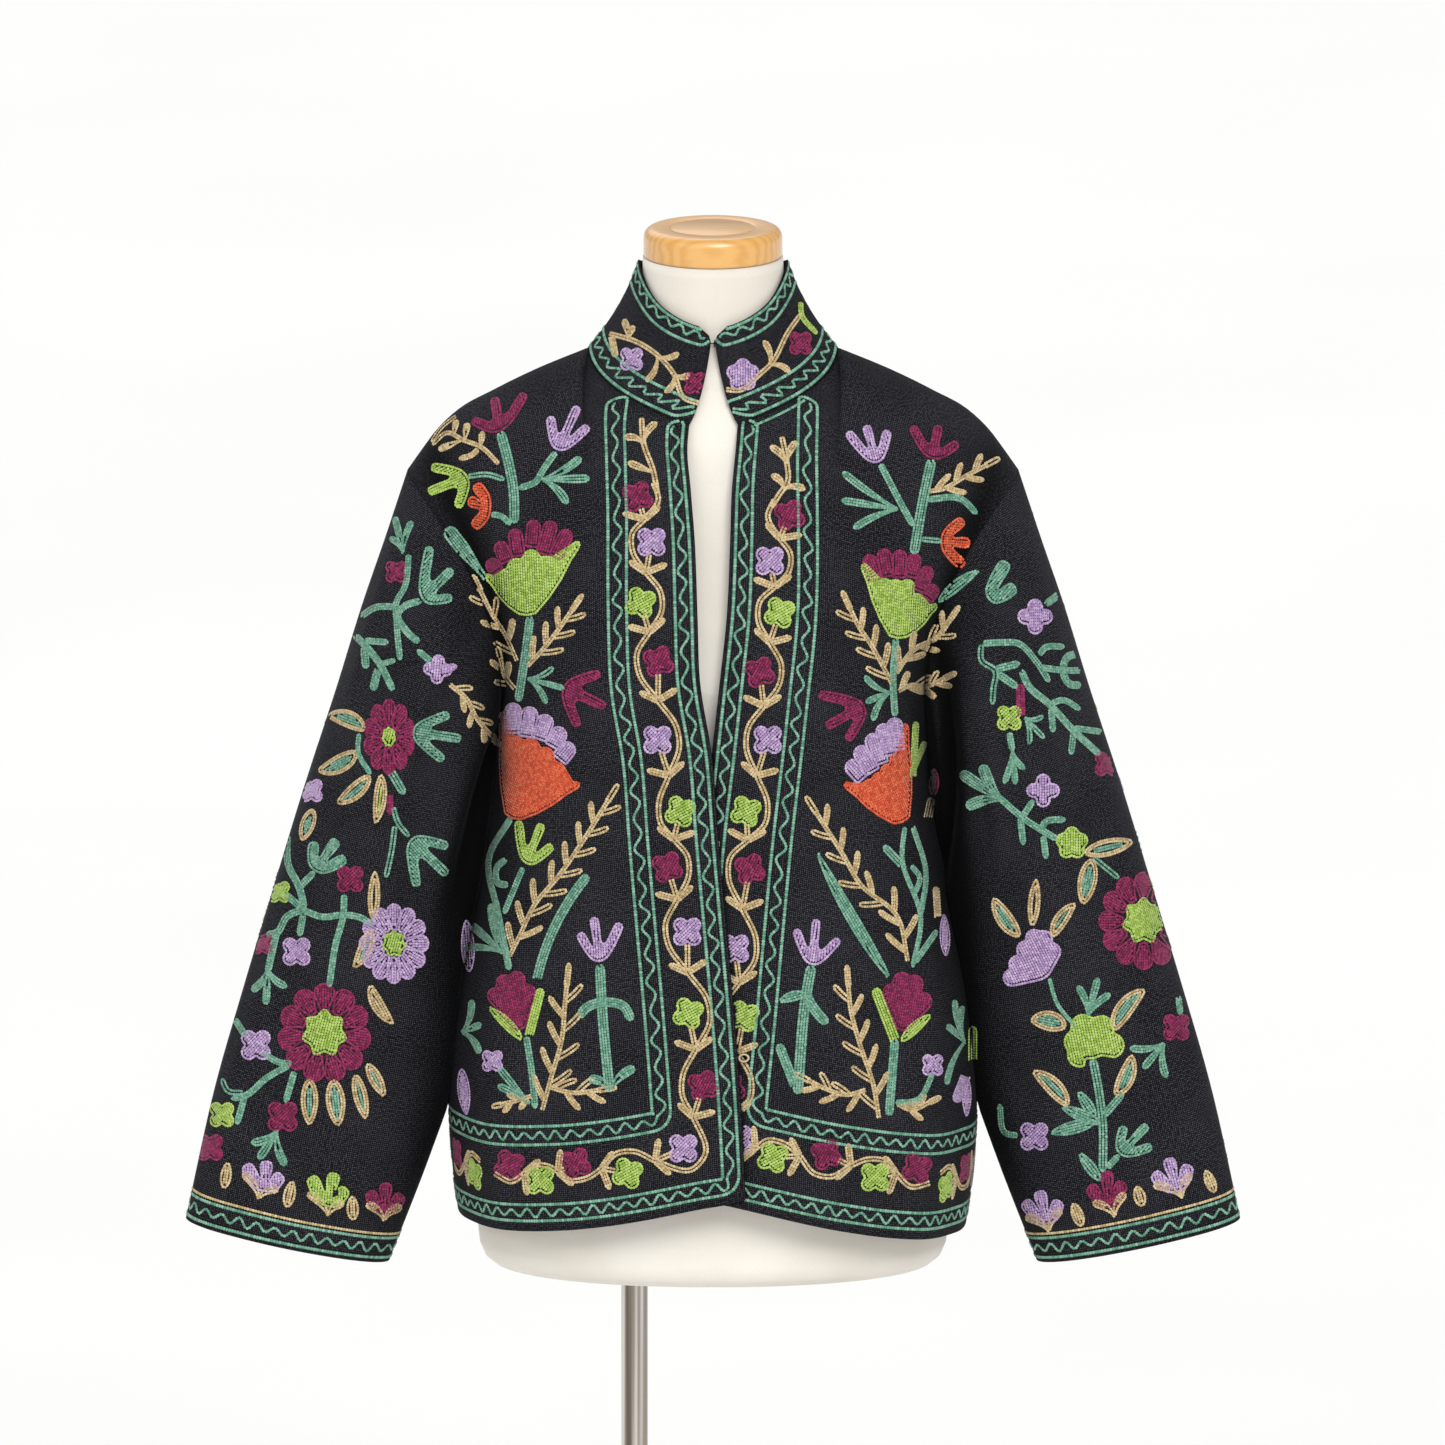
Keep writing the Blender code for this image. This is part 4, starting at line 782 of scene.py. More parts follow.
SLEEVE_RIGHT = (
    ("tulip", "green", (988, 601), ((1008, 560), (1018, 586)), 15),
    ("blossom", "lilac", (1037, 616), 18, 4, 0),
    ("stem", "green", 7, (1047, 604), (1063, 592)),
    ("stem", "green", 6.5, (984, 643), (1002, 642), (1020, 643), (1038, 661), (1051, 681)),
    ("stem", "green", 7, (1041, 655), (1046, 648), (1066, 646)),
    ("stem", "green", 7, (1042, 667), (1066, 670), (1088, 670)),
    ("stem", "green", 7, (1081, 653), (1069, 657), (1065, 670), (1072, 684), (1083, 685)),
    ("stem", "green", 6.5, (983, 643), (983, 660), (997, 671), (995, 688), (994, 704)),
    ("stem", "green", 8, (997, 669), (1021, 663)),
    ("stem", "green", 8, (999, 673), (1019, 687)),
    ("stem", "green", 7, (1023, 670), (1030, 685), (1051, 704), (1076, 731), (1102, 755)),
    ("stem", "green", 6.5, (1052, 704), (1064, 700), (1082, 709)),
    ("stem", "green", 6.5, (1053, 708), (1055, 732)),
    ("stem", "green", 6.5, (1076, 729), (1073, 754)),
    ("stem", "green", 6.5, (1076, 728), (1104, 732)),
    ("leaf", "maroon", (1023, 716), (1022, 684), 9, 0),
    ("blossom", "lime", (1011, 718), 15),
    ("stem", "green", 7, (1011, 732), (1014, 751)),
    ("hand", "green", (1014, 750), ((1006, 783), (1017, 784), (1026, 769)), 7),
    ("hand", "green", (1026, 717), ((1045, 716), (1046, 738), (1031, 744)), 6),
    ("blossom", "maroon", (1109, 764), 15),
    ("hand", "green", (1003, 800), ((962, 773), (984, 765), (968, 808)), 12),
    ("stem", "green", 7, (1001, 798), (1024, 818), (1059, 840)),
    ("stem", "green", 7, (1024, 818), (1035, 801)),
    ("blossom", "lilac", (1045, 791), 17, 4, 0),
    ("stem", "green", 7, (1022, 818), (1025, 845)),
    ("stem", "green", 7, (1042, 834), (1047, 823), (1067, 820)),
    ("stem", "green", 7, (1045, 836), (1048, 859)),
    ("blossom", "lime", (1074, 844), 17, 5, 0),
    ("leaf", TAN_GREEN, (1086, 854), (1136, 842), 18, 0),
    ("leaf", TAN_GREEN, (1094, 859), (1085, 906), 20, 0),
    ("stem", "green", 6, (1095, 858), (1121, 879)),
    ("daisy", MAROON_LIME, (1146, 922), (46, 50), 12, 0.46),
    ("scallop", "lilac", (1045, 980), ((1004, 979), (1011, 961), (1022, 943), (1034, 930), (1046, 931),
     (1057, 944)), 8),
    ("leaf", TAN_GREEN, (1022, 938), (995, 898), 18, 6),
    ("leaf", TAN_GREEN, (1034, 928), (1038, 879), 13, 0),
    ("leaf", TAN_GREEN, (1054, 939), (1078, 904), 15, 6),
    ("stem", "green", 4.5, (1051, 979), (1059, 1005), (1077, 1028)),
    ("hand", "green", (1090, 1018), ((1080, 988), (1100, 980), (1112, 996)), 8),
    ("scallop", "lime", (1096, 1060), ((1069, 1054), (1069, 1035), (1081, 1016), (1107, 1017),
     (1125, 1040)), 8),
    ("leaf", TAN_GREEN, (1068, 1030), (1032, 1023), 21, -8),
    ("leaf", TAN_GREEN, (1116, 1033), (1148, 991), 19, 10),
    ("stem", "green", 9, (1095, 1061), (1101, 1093), (1105, 1127), (1105, 1174)),
    ("leaf", TAN_GREEN, (1070, 1109), (1034, 1073), 18, -8),
    ("leaf", "green", (1103, 1126), (1063, 1109), 13, 0),
    ("leaf", "green", (1098, 1120), (1080, 1093), 12, 0),
    ("leaf", TAN_GREEN, (1117, 1098), (1134, 1056), 18, -8),
    ("stem", "green", 8, (1106, 1118), (1125, 1096)),
    ("leaf", "green", (1098, 1124), (1052, 1136), 14, 0),
    ("blossom", "lilac", (1036, 1139), 17),
    ("stem", "green", 6, (1020, 1138), (1008, 1136), (1001, 1107)),
    ("tulip", "green", (1121, 1158), ((1126, 1128), (1150, 1127), (1155, 1149))),
    ("stem", "green", 7, (1109, 1171), (1121, 1158)),
    ("leaf", "green", (1103, 1184), (1081, 1155), 12, 0),
    ("tulip", "maroon", (1111, 1211), ((1091, 1188), (1109, 1173), (1126, 1184)), 15),
    ("tulip", "lilac", (1049, 1227), ((1025, 1204), (1041, 1193), (1062, 1203)), 15),
    ("tulip", "lilac", (1180, 1195), ((1155, 1176), (1171, 1160), (1192, 1167)), 15),
    ("hand", "tan", (1117, 1219), ((1095, 1206), (1128, 1196)), 9.5),
    ("hand", "tan", (1051, 1234), ((1027, 1220), (1064, 1212)), 9.5),
    ("hand", "tan", (1185, 1200), ((1156, 1188), (1194, 1177)), 9.5),
    ("leaf", "tan", (1084, 1230), (1075, 1205), 13, 0),
    ("leaf", "tan", (1145, 1210), (1139, 1188), 13, 0),
    ("leaf", "tan", (1218, 1196), (1208, 1172), 12, 0),
    ("blossom", "maroon", (1179, 1029), 16),
    ("stem", "green", 6, (1181, 998), (1183, 1016)),
    ("hand", "green", (1167, 1045), ((1133, 1050), (1146, 1070), (1169, 1079)), 8),
)
# Vines by their flowers: colour, column, row
LEFT_VINE = (
    ("maroon", 637, 495), ("lilac", 651, 541), ("lime", 640, 602), ("maroon", 658, 661),
    ("lilac", 657, 740), ("lime", 680, 812), ("maroon", 667, 868), ("lilac", 687, 933),
    ("lime", 688, 1015), ("maroon", 703, 1088), ("lilac", 683, 1151), ("lime", 627, 1176),
    ("maroon", 575, 1166), ("lime", 539, 1183), ("maroon", 508, 1168),
)
RIGHT_VINE = (
    ("maroon", 790, 514), ("lilac", 770, 560), ("lime", 780, 612), ("maroon", 760, 672),
    ("lilac", 768, 740), ("lime", 746, 812), ("maroon", 750, 870), ("lilac", 735, 950),
    ("lime", 744, 1018), ("maroon", 730, 1090), ("lilac", 738, 1142), ("lime", 773, 1160),
    ("maroon", 827, 1157), ("lime", 876, 1180), ("maroon", 918, 1171),
)
VINE_TOPS = (
    ("stem", "tan", 6, (641, 415), (643, 441), (653, 470), (657, 492)),
    ("hand", "tan", (643, 442), ((656, 421), (624, 436)), 8),
    ("hand", "tan", (653, 471), ((628, 461),), 8),
    ("stem", "tan", 6, (782, 434), (787, 460), (788, 480), (779, 494), (772, 506)),
    ("hand", "tan", (787, 463), ((771, 445), (797, 440)), 8),
    ("hand", "tan", (784, 488), ((772, 474), (805, 488)), 8),
)

# What the back, the hem and the collar's back have, where the photograph doesn't show them: the
# vines' rows or distances in metres, and how far their flowers swing to each side in pixels
BACK_SHIFT = 46
BACK_VINE_ROWS = (372, 1105, 58)
BACK_VINE_SWING = 7
COLOURS = ("lime", "maroon", "lilac")
HEM_VINES = (("front_right", 0.227), ("front_left", 0.227), ("back_right", 0.020), ("back_left", 0.020))
HEM_VINE_STEP = 0.034
HEM_VINE_END = 0.010
HEM_VINE_SWING = 7
COLLAR_VINE_UP = 0.0330
COLLAR_VINE_REACH = 0.085
COLLAR_VINE_STEP = 0.042
COLLAR_VINE_SWING = 4


# Tables and curves


def column(table, names, name):
    """One column of a table."""
    return np.array([row[names.index(name)] for row in table], float)


def through(places, values, at):
    """A smooth curve through a table's points, read at one place or many."""
    at = np.clip(np.asarray(at, float), places[0], places[-1])
    slope = np.gradient(values, places)
    i = np.clip(np.searchsorted(places, at, side="right") - 1, 0, len(places) - 2)
    step = places[i + 1] - places[i]
    s = (at - places[i]) / step
    start = values[i] * (1 + 2 * s) * (1 - s) ** 2 + slope[i] * step * s * (1 - s) ** 2
    end = values[i + 1] * s * s * (3 - 2 * s) + slope[i + 1] * step * s * s * (s - 1)
    return start + end


def read(table, names, name, at):
    """A named column of a table as a smooth curve over its first column."""
    return through(column(table, names, names[0]), column(table, names, name), at)


def unit(vectors):
    return vectors / np.linalg.norm(vectors, axis=-1, keepdims=True)


def run_along(line):
    """Distances along a line, from its start to each of its points."""
    return np.concatenate([[0], np.cumsum(np.linalg.norm(np.diff(line, axis=0), axis=1))])


def at_run(at, run, line):
    """A line's points at distances along it."""
    return np.stack([np.interp(at, run, line[:, k]) for k in range(line.shape[1])], axis=-1)


def oval(ratio):
    """How far a half superellipse reaches at a share of its half width."""
    return (1 - np.clip(ratio, 0, 1) ** SQUARENESS) ** (1 / SQUARENESS)


def squared(value, power):
    """A sine or cosine made squarer or rounder by a power, with its sign kept."""
    return np.sign(value) * np.abs(value) ** power


def ease(start, end, at):
    """0 before the start, 1 after the end, smooth between."""
    s = np.clip((np.asarray(at, float) - start) / (end - start), 0, 1)
    return s * s * (3 - 2 * s)


def fold_relief(folds, along, place):
    """The height of a table of folds, each a soft ridge or trough that fades at both ends."""
    height = np.zeros(np.broadcast(along, place).shape)
    for row in folds:
        fold = dict(zip(FOLD_COLUMNS, row))
        share = (along - fold["from_along"]) / (fold["to_along"] - fold["from_along"])
        share = np.clip(share, 0, 1)
        line = fold["from_place"] + (fold["to_place"] - fold["from_place"]) * share
        fade = np.sin(np.pi * share) ** FOLD_END_POWER
        height = height + fold["height"] * fade * np.exp(-(((place - line) / fold["width"]) ** 2))
    return height


# The jacket's body


def body_depth(x, z, face):
    """How far the body reaches forwards or back at a distance from the middle and a height."""
    section = oval(np.abs(x) / read(BODY, BODY_COLUMNS, "half_width", z))
    shoulder = read(SHOULDER, SHOULDER_COLUMNS, "height", np.abs(x))
    below = np.clip((shoulder - z) / SHOULDER_ROUND, 0, 1)
    return read(BODY, BODY_COLUMNS, face, z) * section * np.sqrt(1 - (1 - below) ** 2)


def front_edge(side, z):
    return read(EDGES, EDGE_COLUMNS, f"{side}_front", z)


def neck_ring(face, angle, level):
    """A point of the collar's base (level 0) to top (level 1), by degrees round from the neck point."""
    table, base_depth, top_depth = NECK[face]
    turn = np.radians(angle)
    half_width = NECK_HALF_WIDTH + (COLLAR_TOP_HALF_WIDTH - NECK_HALF_WIDTH) * level
    depth = base_depth + (top_depth - base_depth) * level
    hollow = COLLAR_HOLLOW * 4 * level * (1 - level)
    base, top = (read(table, COLLAR_COLUMNS, name, angle) for name in ("base", "top"))
    x, y = (half_width - hollow) * np.cos(turn), SIGN[face] * (depth - hollow) * np.sin(turn)
    return np.stack([x, y, base + (top - base) * level], axis=-1)


def edge_angle(side):
    """Where the front edge meets the neck, in degrees round from the neck point."""
    angle = FIRST_EDGE_ANGLE
    for _ in range(EDGE_ANGLE_TRIES):
        height = read(COLLAR_FRONT, COLLAR_COLUMNS, "base", angle)
        angle = math.degrees(math.acos(float(front_edge(side, height)) / NECK_HALF_WIDTH))
    return angle


def armhole(face, angle):
    """A point of the armhole, by degrees round from the shoulder tip to the underarm."""
    turn = np.radians(angle)
    depth = SIGN[face] * ARMHOLE_DEPTH[face]
    middle_x = (SHOULDER_HALF_WIDTH + UNDERARM_HALF_WIDTH) / 2
    middle_z = (SHOULDER_TIP + UNDERARM) / 2
    x = middle_x + (SHOULDER_HALF_WIDTH - middle_x) * np.cos(turn)
    z = middle_z + (SHOULDER_TIP - middle_z) * np.cos(turn)
    return np.stack([x - ARMHOLE_BOW * np.sin(turn) ** 2, depth * np.sin(turn), z], axis=-1)


def top_line(face, side):
    """The neckline from the edge or the middle of the back, and the shoulder seam after it."""
    start = edge_angle(side) if face == "front" else 90
    neck = neck_ring(face, np.linspace(start, 0, NECK_STEPS + 1), 0.0)
    out = np.linspace(NECK_HALF_WIDTH, SHOULDER_HALF_WIDTH, SHOULDER_STEPS + 1)[1:]
    height = read(SHOULDER, SHOULDER_COLUMNS, "height", out)
    seam = np.stack([out, np.zeros_like(out), height], axis=-1)
    return np.concatenate([neck, seam])


def section_x(inner, z, share):
    """Distances from the middle, spread evenly along a section from its inner end to its side."""
    half_width = read(BODY, BODY_COLUMNS, "half_width", z)
    power = 2 / SQUARENESS
    start = np.sign(inner) * np.arcsin(np.clip(np.abs(inner) / half_width, 0, 1) ** (1 / power))
    turn = start + (np.pi / 2 - start) * share
    return half_width * np.sign(turn) * np.abs(np.sin(turn)) ** power


def hem_height(face, side, share):
    inner, power = (HEM_EDGE[side], HEM_RISE[side]) if face == "front" else (HEM_BACK, 2)
    return HEM_SIDE[side] + (inner - HEM_SIDE[side]) * (1 - share) ** power


def low_part(face, side, share):
    """The body from its hem to the underarm, as rows of points from the inner end to the side."""
    points = []
    level = EDGE_AT_UNDERARM + (UNDERARM - EDGE_AT_UNDERARM) * share
    for up in np.linspace(0, 1, LOW_ROWS + 1):
        z = hem_height(face, side, share) * (1 - up) + level * up
        inner = front_edge(side, z) if face == "front" else np.zeros_like(z)
        x = section_x(inner, z, share)
        points.append(np.stack([x, body_depth(x, z, face), z], axis=-1))
    return np.array(points)


def patch(bottom, top, inner, outer):
    """A patch between four boundary curves, bilinear across."""
    across = np.linspace(0, 1, len(bottom))[None, :, None]
    up = np.linspace(0, 1, len(inner))[:, None, None]
    between_rows = bottom[None] * (1 - up) + top[None] * up
    between_columns = inner[:, None] * (1 - across) + outer[:, None] * across
    corners = (bottom[0] * (1 - across) + bottom[-1] * across) * (1 - up)
    corners = corners + (top[0] * (1 - across) + top[-1] * across) * up
    return between_rows + between_columns - corners


def high_part(face, side, bottom):
    """The body from the underarm to the neck and shoulder, between the edge and the armhole."""
    top = top_line(face, side)
    share = np.linspace(0, 1, ARMHOLE_ROWS + 1)
    height = np.linspace(bottom[0, 2], top[0, 2], ARMHOLE_ROWS + 1)
    inner_x = front_edge(side, height) if face == "front" else np.zeros_like(height)
    inner = np.stack([inner_x, height * 0, height], axis=-1)
    outer = armhole(face, np.linspace(180, 0, ARMHOLE_ROWS + 1))
    places = patch(bottom, top, inner, outer)
    depth = body_depth(places[..., 0], places[..., 2], face)

    # The body's own depth, drawn to the neck, the shoulder seam and the armhole at its borders
    top_miss = SIGN[face] * top[:, 1] - depth[-1]
    outer_miss = SIGN[face] * outer[:, 1] - depth[:, -1]
    inner_miss = top_miss[0] * share**3
    borders = (np.zeros(len(bottom)), top_miss, inner_miss, outer_miss)
    miss = patch(*(border[:, None] for border in borders))[..., 0]
    across = np.linspace(0, 1, len(bottom))[None, :]
    depth = depth + miss * np.maximum(across**2, share[:, None] ** 2)
    return np.stack([places[..., 0], depth, places[..., 2]], axis=-1)


def smoothed(points):
    """A grid whose depths are evened out inside its borders."""
    depth = points[..., 1]
    for _ in range(SMOOTHING_ROUNDS):
        around = depth[:-2, 1:-1] + depth[2:, 1:-1] + depth[1:-1, :-2] + depth[1:-1, 2:]
        depth[1:-1, 1:-1] += (around / 4 - depth[1:-1, 1:-1]) / 2
    return points


def lap(side, points):
    """How far a front moves forwards or back where the two fronts lie on each other."""
    distance = points[..., 0] - points[:, :1, 0]
    fade = 1 - ease(LAP_WIDTH, 2 * LAP_WIDTH, distance)
    return -SIGN[side] * LAP * fade * ease(LAP_STARTS, LAP_FULL, points[..., 2])


def body_half(face, side):
    """Half of the body, as rows of points from the hem up, each from the inner end outwards."""
    share = np.linspace(0, 1, NECK_STEPS + SHOULDER_STEPS + 1)
    low = low_part(face, side, share)
    points = np.concatenate([low, high_part(face, side, low[-1])[1:]])
    if face == "front":
        points[..., 1] += lap(side, points)
    points = smoothed(points)
    rows = np.linspace(0, 1, len(points))[:, None]
    folds = BODY_FOLDS[face, side] + BODY_CREASES[face, side]
    relief = fold_relief(folds, rows, share[None, :])
    side_fade = np.sin(np.pi * share) ** FOLD_SIDE_POWER
    points[..., 1] += relief * side_fade * (1 - rows**FOLD_TOP_POWER)
    points[..., 1] *= SIGN[face]
    points[..., 0] *= SIGN[side]
    return points


# Sleeves and collar


def body_side(y, z):
    """How far the body reaches sideways at a depth and a height."""
    depth = np.where(y < 0, read(BODY, BODY_COLUMNS, "front", z), read(BODY, BODY_COLUMNS, "back", z))
    return read(BODY, BODY_COLUMNS, "half_width", z) * oval(np.abs(y) / depth)


def sleeve_grid():
    """The shares of the way down a sleeve, and the degrees round it, of its rows and columns."""
    along = np.linspace(0, 1, SLEEVE_STEPS + 1)[:, None] ** SLEEVE_STEP_GROWTH
    front = np.linspace(0, 180, ARMHOLE_ROWS + 1)
    return along, np.concatenate([front, 360 - front[-2::-1]])[None, :]


def sleeve(side):
    """Rings of points from the armhole to the cuff, each from its outer side round by the front."""
    along, angle = sleeve_grid()
    turn = np.radians(angle)
    size = {name: read(SLEEVE, SLEEVE_COLUMNS, name, along) for name in SLEEVE_COLUMNS[1:]}
    power = 2 / size["squareness"]
    out, over = squared(np.cos(turn), power), squared(np.sin(turn), power)
    reach = np.where(over > 0, size["front"], size["back"])
    middle_x, middle_z = ((size[f"out_{k}"] + size[f"in_{k}"]) / 2 for k in "xz")
    half_x, half_z = ((size[f"out_{k}"] - size[f"in_{k}"]) / 2 for k in "xz")
    half = np.hypot(half_x, half_z)
    relief = fold_relief(SLEEVE_FOLDS[side] + SLEEVE_CREASES[side], along, angle)
    relief = relief * ease(0, SLEEVE_FOLDS_FULL, along)
    x = middle_x + half_x * out * (1 + relief / half) - size["bow"] * over**2
    y = size["middle"] - (reach + relief) * over
    z = middle_z + half_z * out * (1 + relief / half)
    pressed = np.maximum(x, body_side(y, z) + SLEEVE_CLEAR)
    x = x + (pressed - x) * ease(*SLEEVE_PRESS, z)
    return np.stack([x * SIGN[side], y, z], axis=-1)


def collar():
    """Rows of points from the collar's base to its top, from the right front edge round the back."""
    meets = math.degrees(math.acos(COLLAR_MEETS / COLLAR_TOP_HALF_WIDTH))
    rows = []
    for level in np.linspace(0, 1, COLLAR_ROWS + 1):
        row = []
        for side in ("right", "left"):
            edge = edge_angle(side)
            end = edge + (meets - edge) * level**COLLAR_EDGE_BEND
            front_ring = neck_ring("front", np.linspace(end, 0, NECK_STEPS + 1), level)
            back_ring = neck_ring("back", np.linspace(0, 90, NECK_STEPS + 1), level)
            row.append(np.concatenate([front_ring, back_ring[1:]]) * np.array([SIGN[side], 1, 1]))
        rows.append(np.concatenate([row[0], row[1][-2::-1]]))
    return round_corners(np.array(rows))


def round_corners(points):
    """A collar's grid with its upper front corners cut round: each row ends where the round does."""
    height = points[:, :, 2]
    for end, step in ((0, 1), (-1, -1)):
        top = height[-1, end]
        for row in range(len(points)):
            rise = COLLAR_CORNER - (top - height[row, end])
            if rise <= 0:
                continue
            cut = COLLAR_CORNER - math.sqrt(COLLAR_CORNER**2 - rise**2)
            line = points[row, ::step].copy()
            run = run_along(line)
            reach = run[-1] / 2
            moved = np.where(run < reach, cut + run * (reach - cut) / reach, run)
            points[row, ::step] = at_run(moved, run, line)
    return points


# Walls


def normals(points, flip):
    """The outward direction at each point of a grid of rows."""
    normal = unit(np.cross(np.gradient(points, axis=1), np.gradient(points, axis=0)))
    return -normal if flip else normal


def shared_normals(grids, outward):
    """Each grid's outward directions, made one where pieces share a point of a seam.

    The fronts and the backs count as one at a seam with a sleeve or the collar.
    """
    met = {}
    for name, points in grids.items():
        kind = name.split("_")[0] if name.startswith(("sleeve", "collar")) else "body"
        for key, normal in zip(point_keys(points), outward[name].reshape(-1, 3)):
            kinds = met.setdefault(key, {})
            kinds[kind] = kinds.get(kind, 0) + normal
    shared = {}
    for name, points in grids.items():
        made = [sum(unit(normal) for normal in met[key].values()) for key in point_keys(points)]
        shared[name] = unit(np.array(made)).reshape(points.shape)
    return shared


def point_keys(points):
    return [tuple(key) for key in np.round(points.reshape(-1, 3) * 1e5).astype(int)]


def draw_back(points, normal, seams):
    """A grid with its sewn borders moved back from their seams by half of the gap."""
    drawn = points.copy()
    for seam in seams:
        border, inside = {
            "first_row": (np.s_[0], np.s_[1]),
            "last_row": (np.s_[-1], np.s_[-2]),
            "first_column": (np.s_[:, 0], np.s_[:, 1]),
            "last_column": (np.s_[:, -1], np.s_[:, -2]),
        }[seam]
        across = unit(np.cross(np.gradient(points[border], axis=0), normal[border]))
        inwards = np.sum(across * (points[inside] - points[border]), axis=-1, keepdims=True)
        drawn[border] += SEAM_GAP / 2 * np.sign(inwards) * across
    return drawn


def mitre(own, shared):
    """Directions that keep a wall's thickness where it meets its neighbour at an angle."""
    along = np.sum(own * shared, axis=-1, keepdims=True)
    return shared / np.maximum(along, STEEPEST_MITRE)




def wall_mesh(name, points, normal, flip, closed, material):
    """A wall of one thickness with rounded rims, inwards from a grid, and its outer faces."""
    if closed:
        points, normal = points[:, :-1], normal[:, :-1]
    rows, columns = points.shape[:2]
    corner = rows * columns
    inner = points - WALL * normal
    middle = points - WALL / 2 * normal
    index = np.arange(corner).reshape(rows, columns)
    if closed:
        index = np.concatenate([index, index[:, :1]], axis=1)
    outer_faces = grid_faces(index)
    places = [points.reshape(-1, 3), inner.reshape(-1, 3)]
    faces = [outer_faces, (outer_faces + corner)[:, ::-1]]

    # Each rim goes from the outer surface over a swollen middle line to the inner one
    border = [(index[0][::-1], index[1][::-1]), (index[-1], index[-2])]
    if not closed:
        border += [(index[:, 0], index[:, 1]), (index[::-1, -1], index[::-1, -2])]
    flat_points, flat_middle = points.reshape(-1, 3), middle.reshape(-1, 3)
    start = 2 * corner
    for edge, inside in border:
        out = unit(flat_points[edge] - flat_points[inside]) * RIM_SWELL
        places.append(flat_middle[edge] + out)
        line = np.arange(len(edge)) + start
        start += len(edge)
        faces.append(split(edge[:-1], edge[1:], line[1:], line[:-1]))
        faces.append(split(line[:-1], line[1:], edge[1:] + corner, edge[:-1] + corner))
    way = -1 if flip else 1
    made = add_triangles(name, np.concatenate(places), np.concatenate(faces)[:, ::way], material)
    return made, outer_faces[:, ::way]


def grid_faces(index):
    """The triangles of a grid of point numbers."""
    return split(index[:-1, :-1], index[:-1, 1:], index[1:, 1:], index[1:, :-1])


def split(a, b, c, d):
    """The two triangles of each four-sided face."""
    first = np.stack([a, b, c], axis=-1).reshape(-1, 3)
    second = np.stack([a, c, d], axis=-1).reshape(-1, 3)
    return np.concatenate([first, second])


def add_triangles(name, places, faces, material):
    """An object of one material with a smooth mesh of triangles."""
    data = bpy.data.meshes.new(name)
    data.vertices.add(len(places))
    data.vertices.foreach_set("co", np.ascontiguousarray(places, dtype=np.float32).ravel())
    data.loops.add(faces.size)
    data.loops.foreach_set("vertex_index", np.ascontiguousarray(faces, dtype=np.int32).ravel())
    data.polygons.add(len(faces))
    data.polygons.foreach_set("loop_start", np.arange(0, faces.size, 3, dtype=np.int32))
    data.update(calc_edges=True)
    data.polygons.foreach_set("use_smooth", np.ones(len(faces), dtype=bool))
    data.validate()
    data.materials.append(material)
    made = bpy.data.objects.new(name, data)
    bpy.context.scene.collection.objects.link(made)
    return made


def set_values(made, name, values):
    """A number stored on each point of an object, for its material to read."""
    layer = made.data.attributes.new(name, "FLOAT", "POINT")
    layer.data.foreach_set("value", values.astype(np.float32))


# Materials


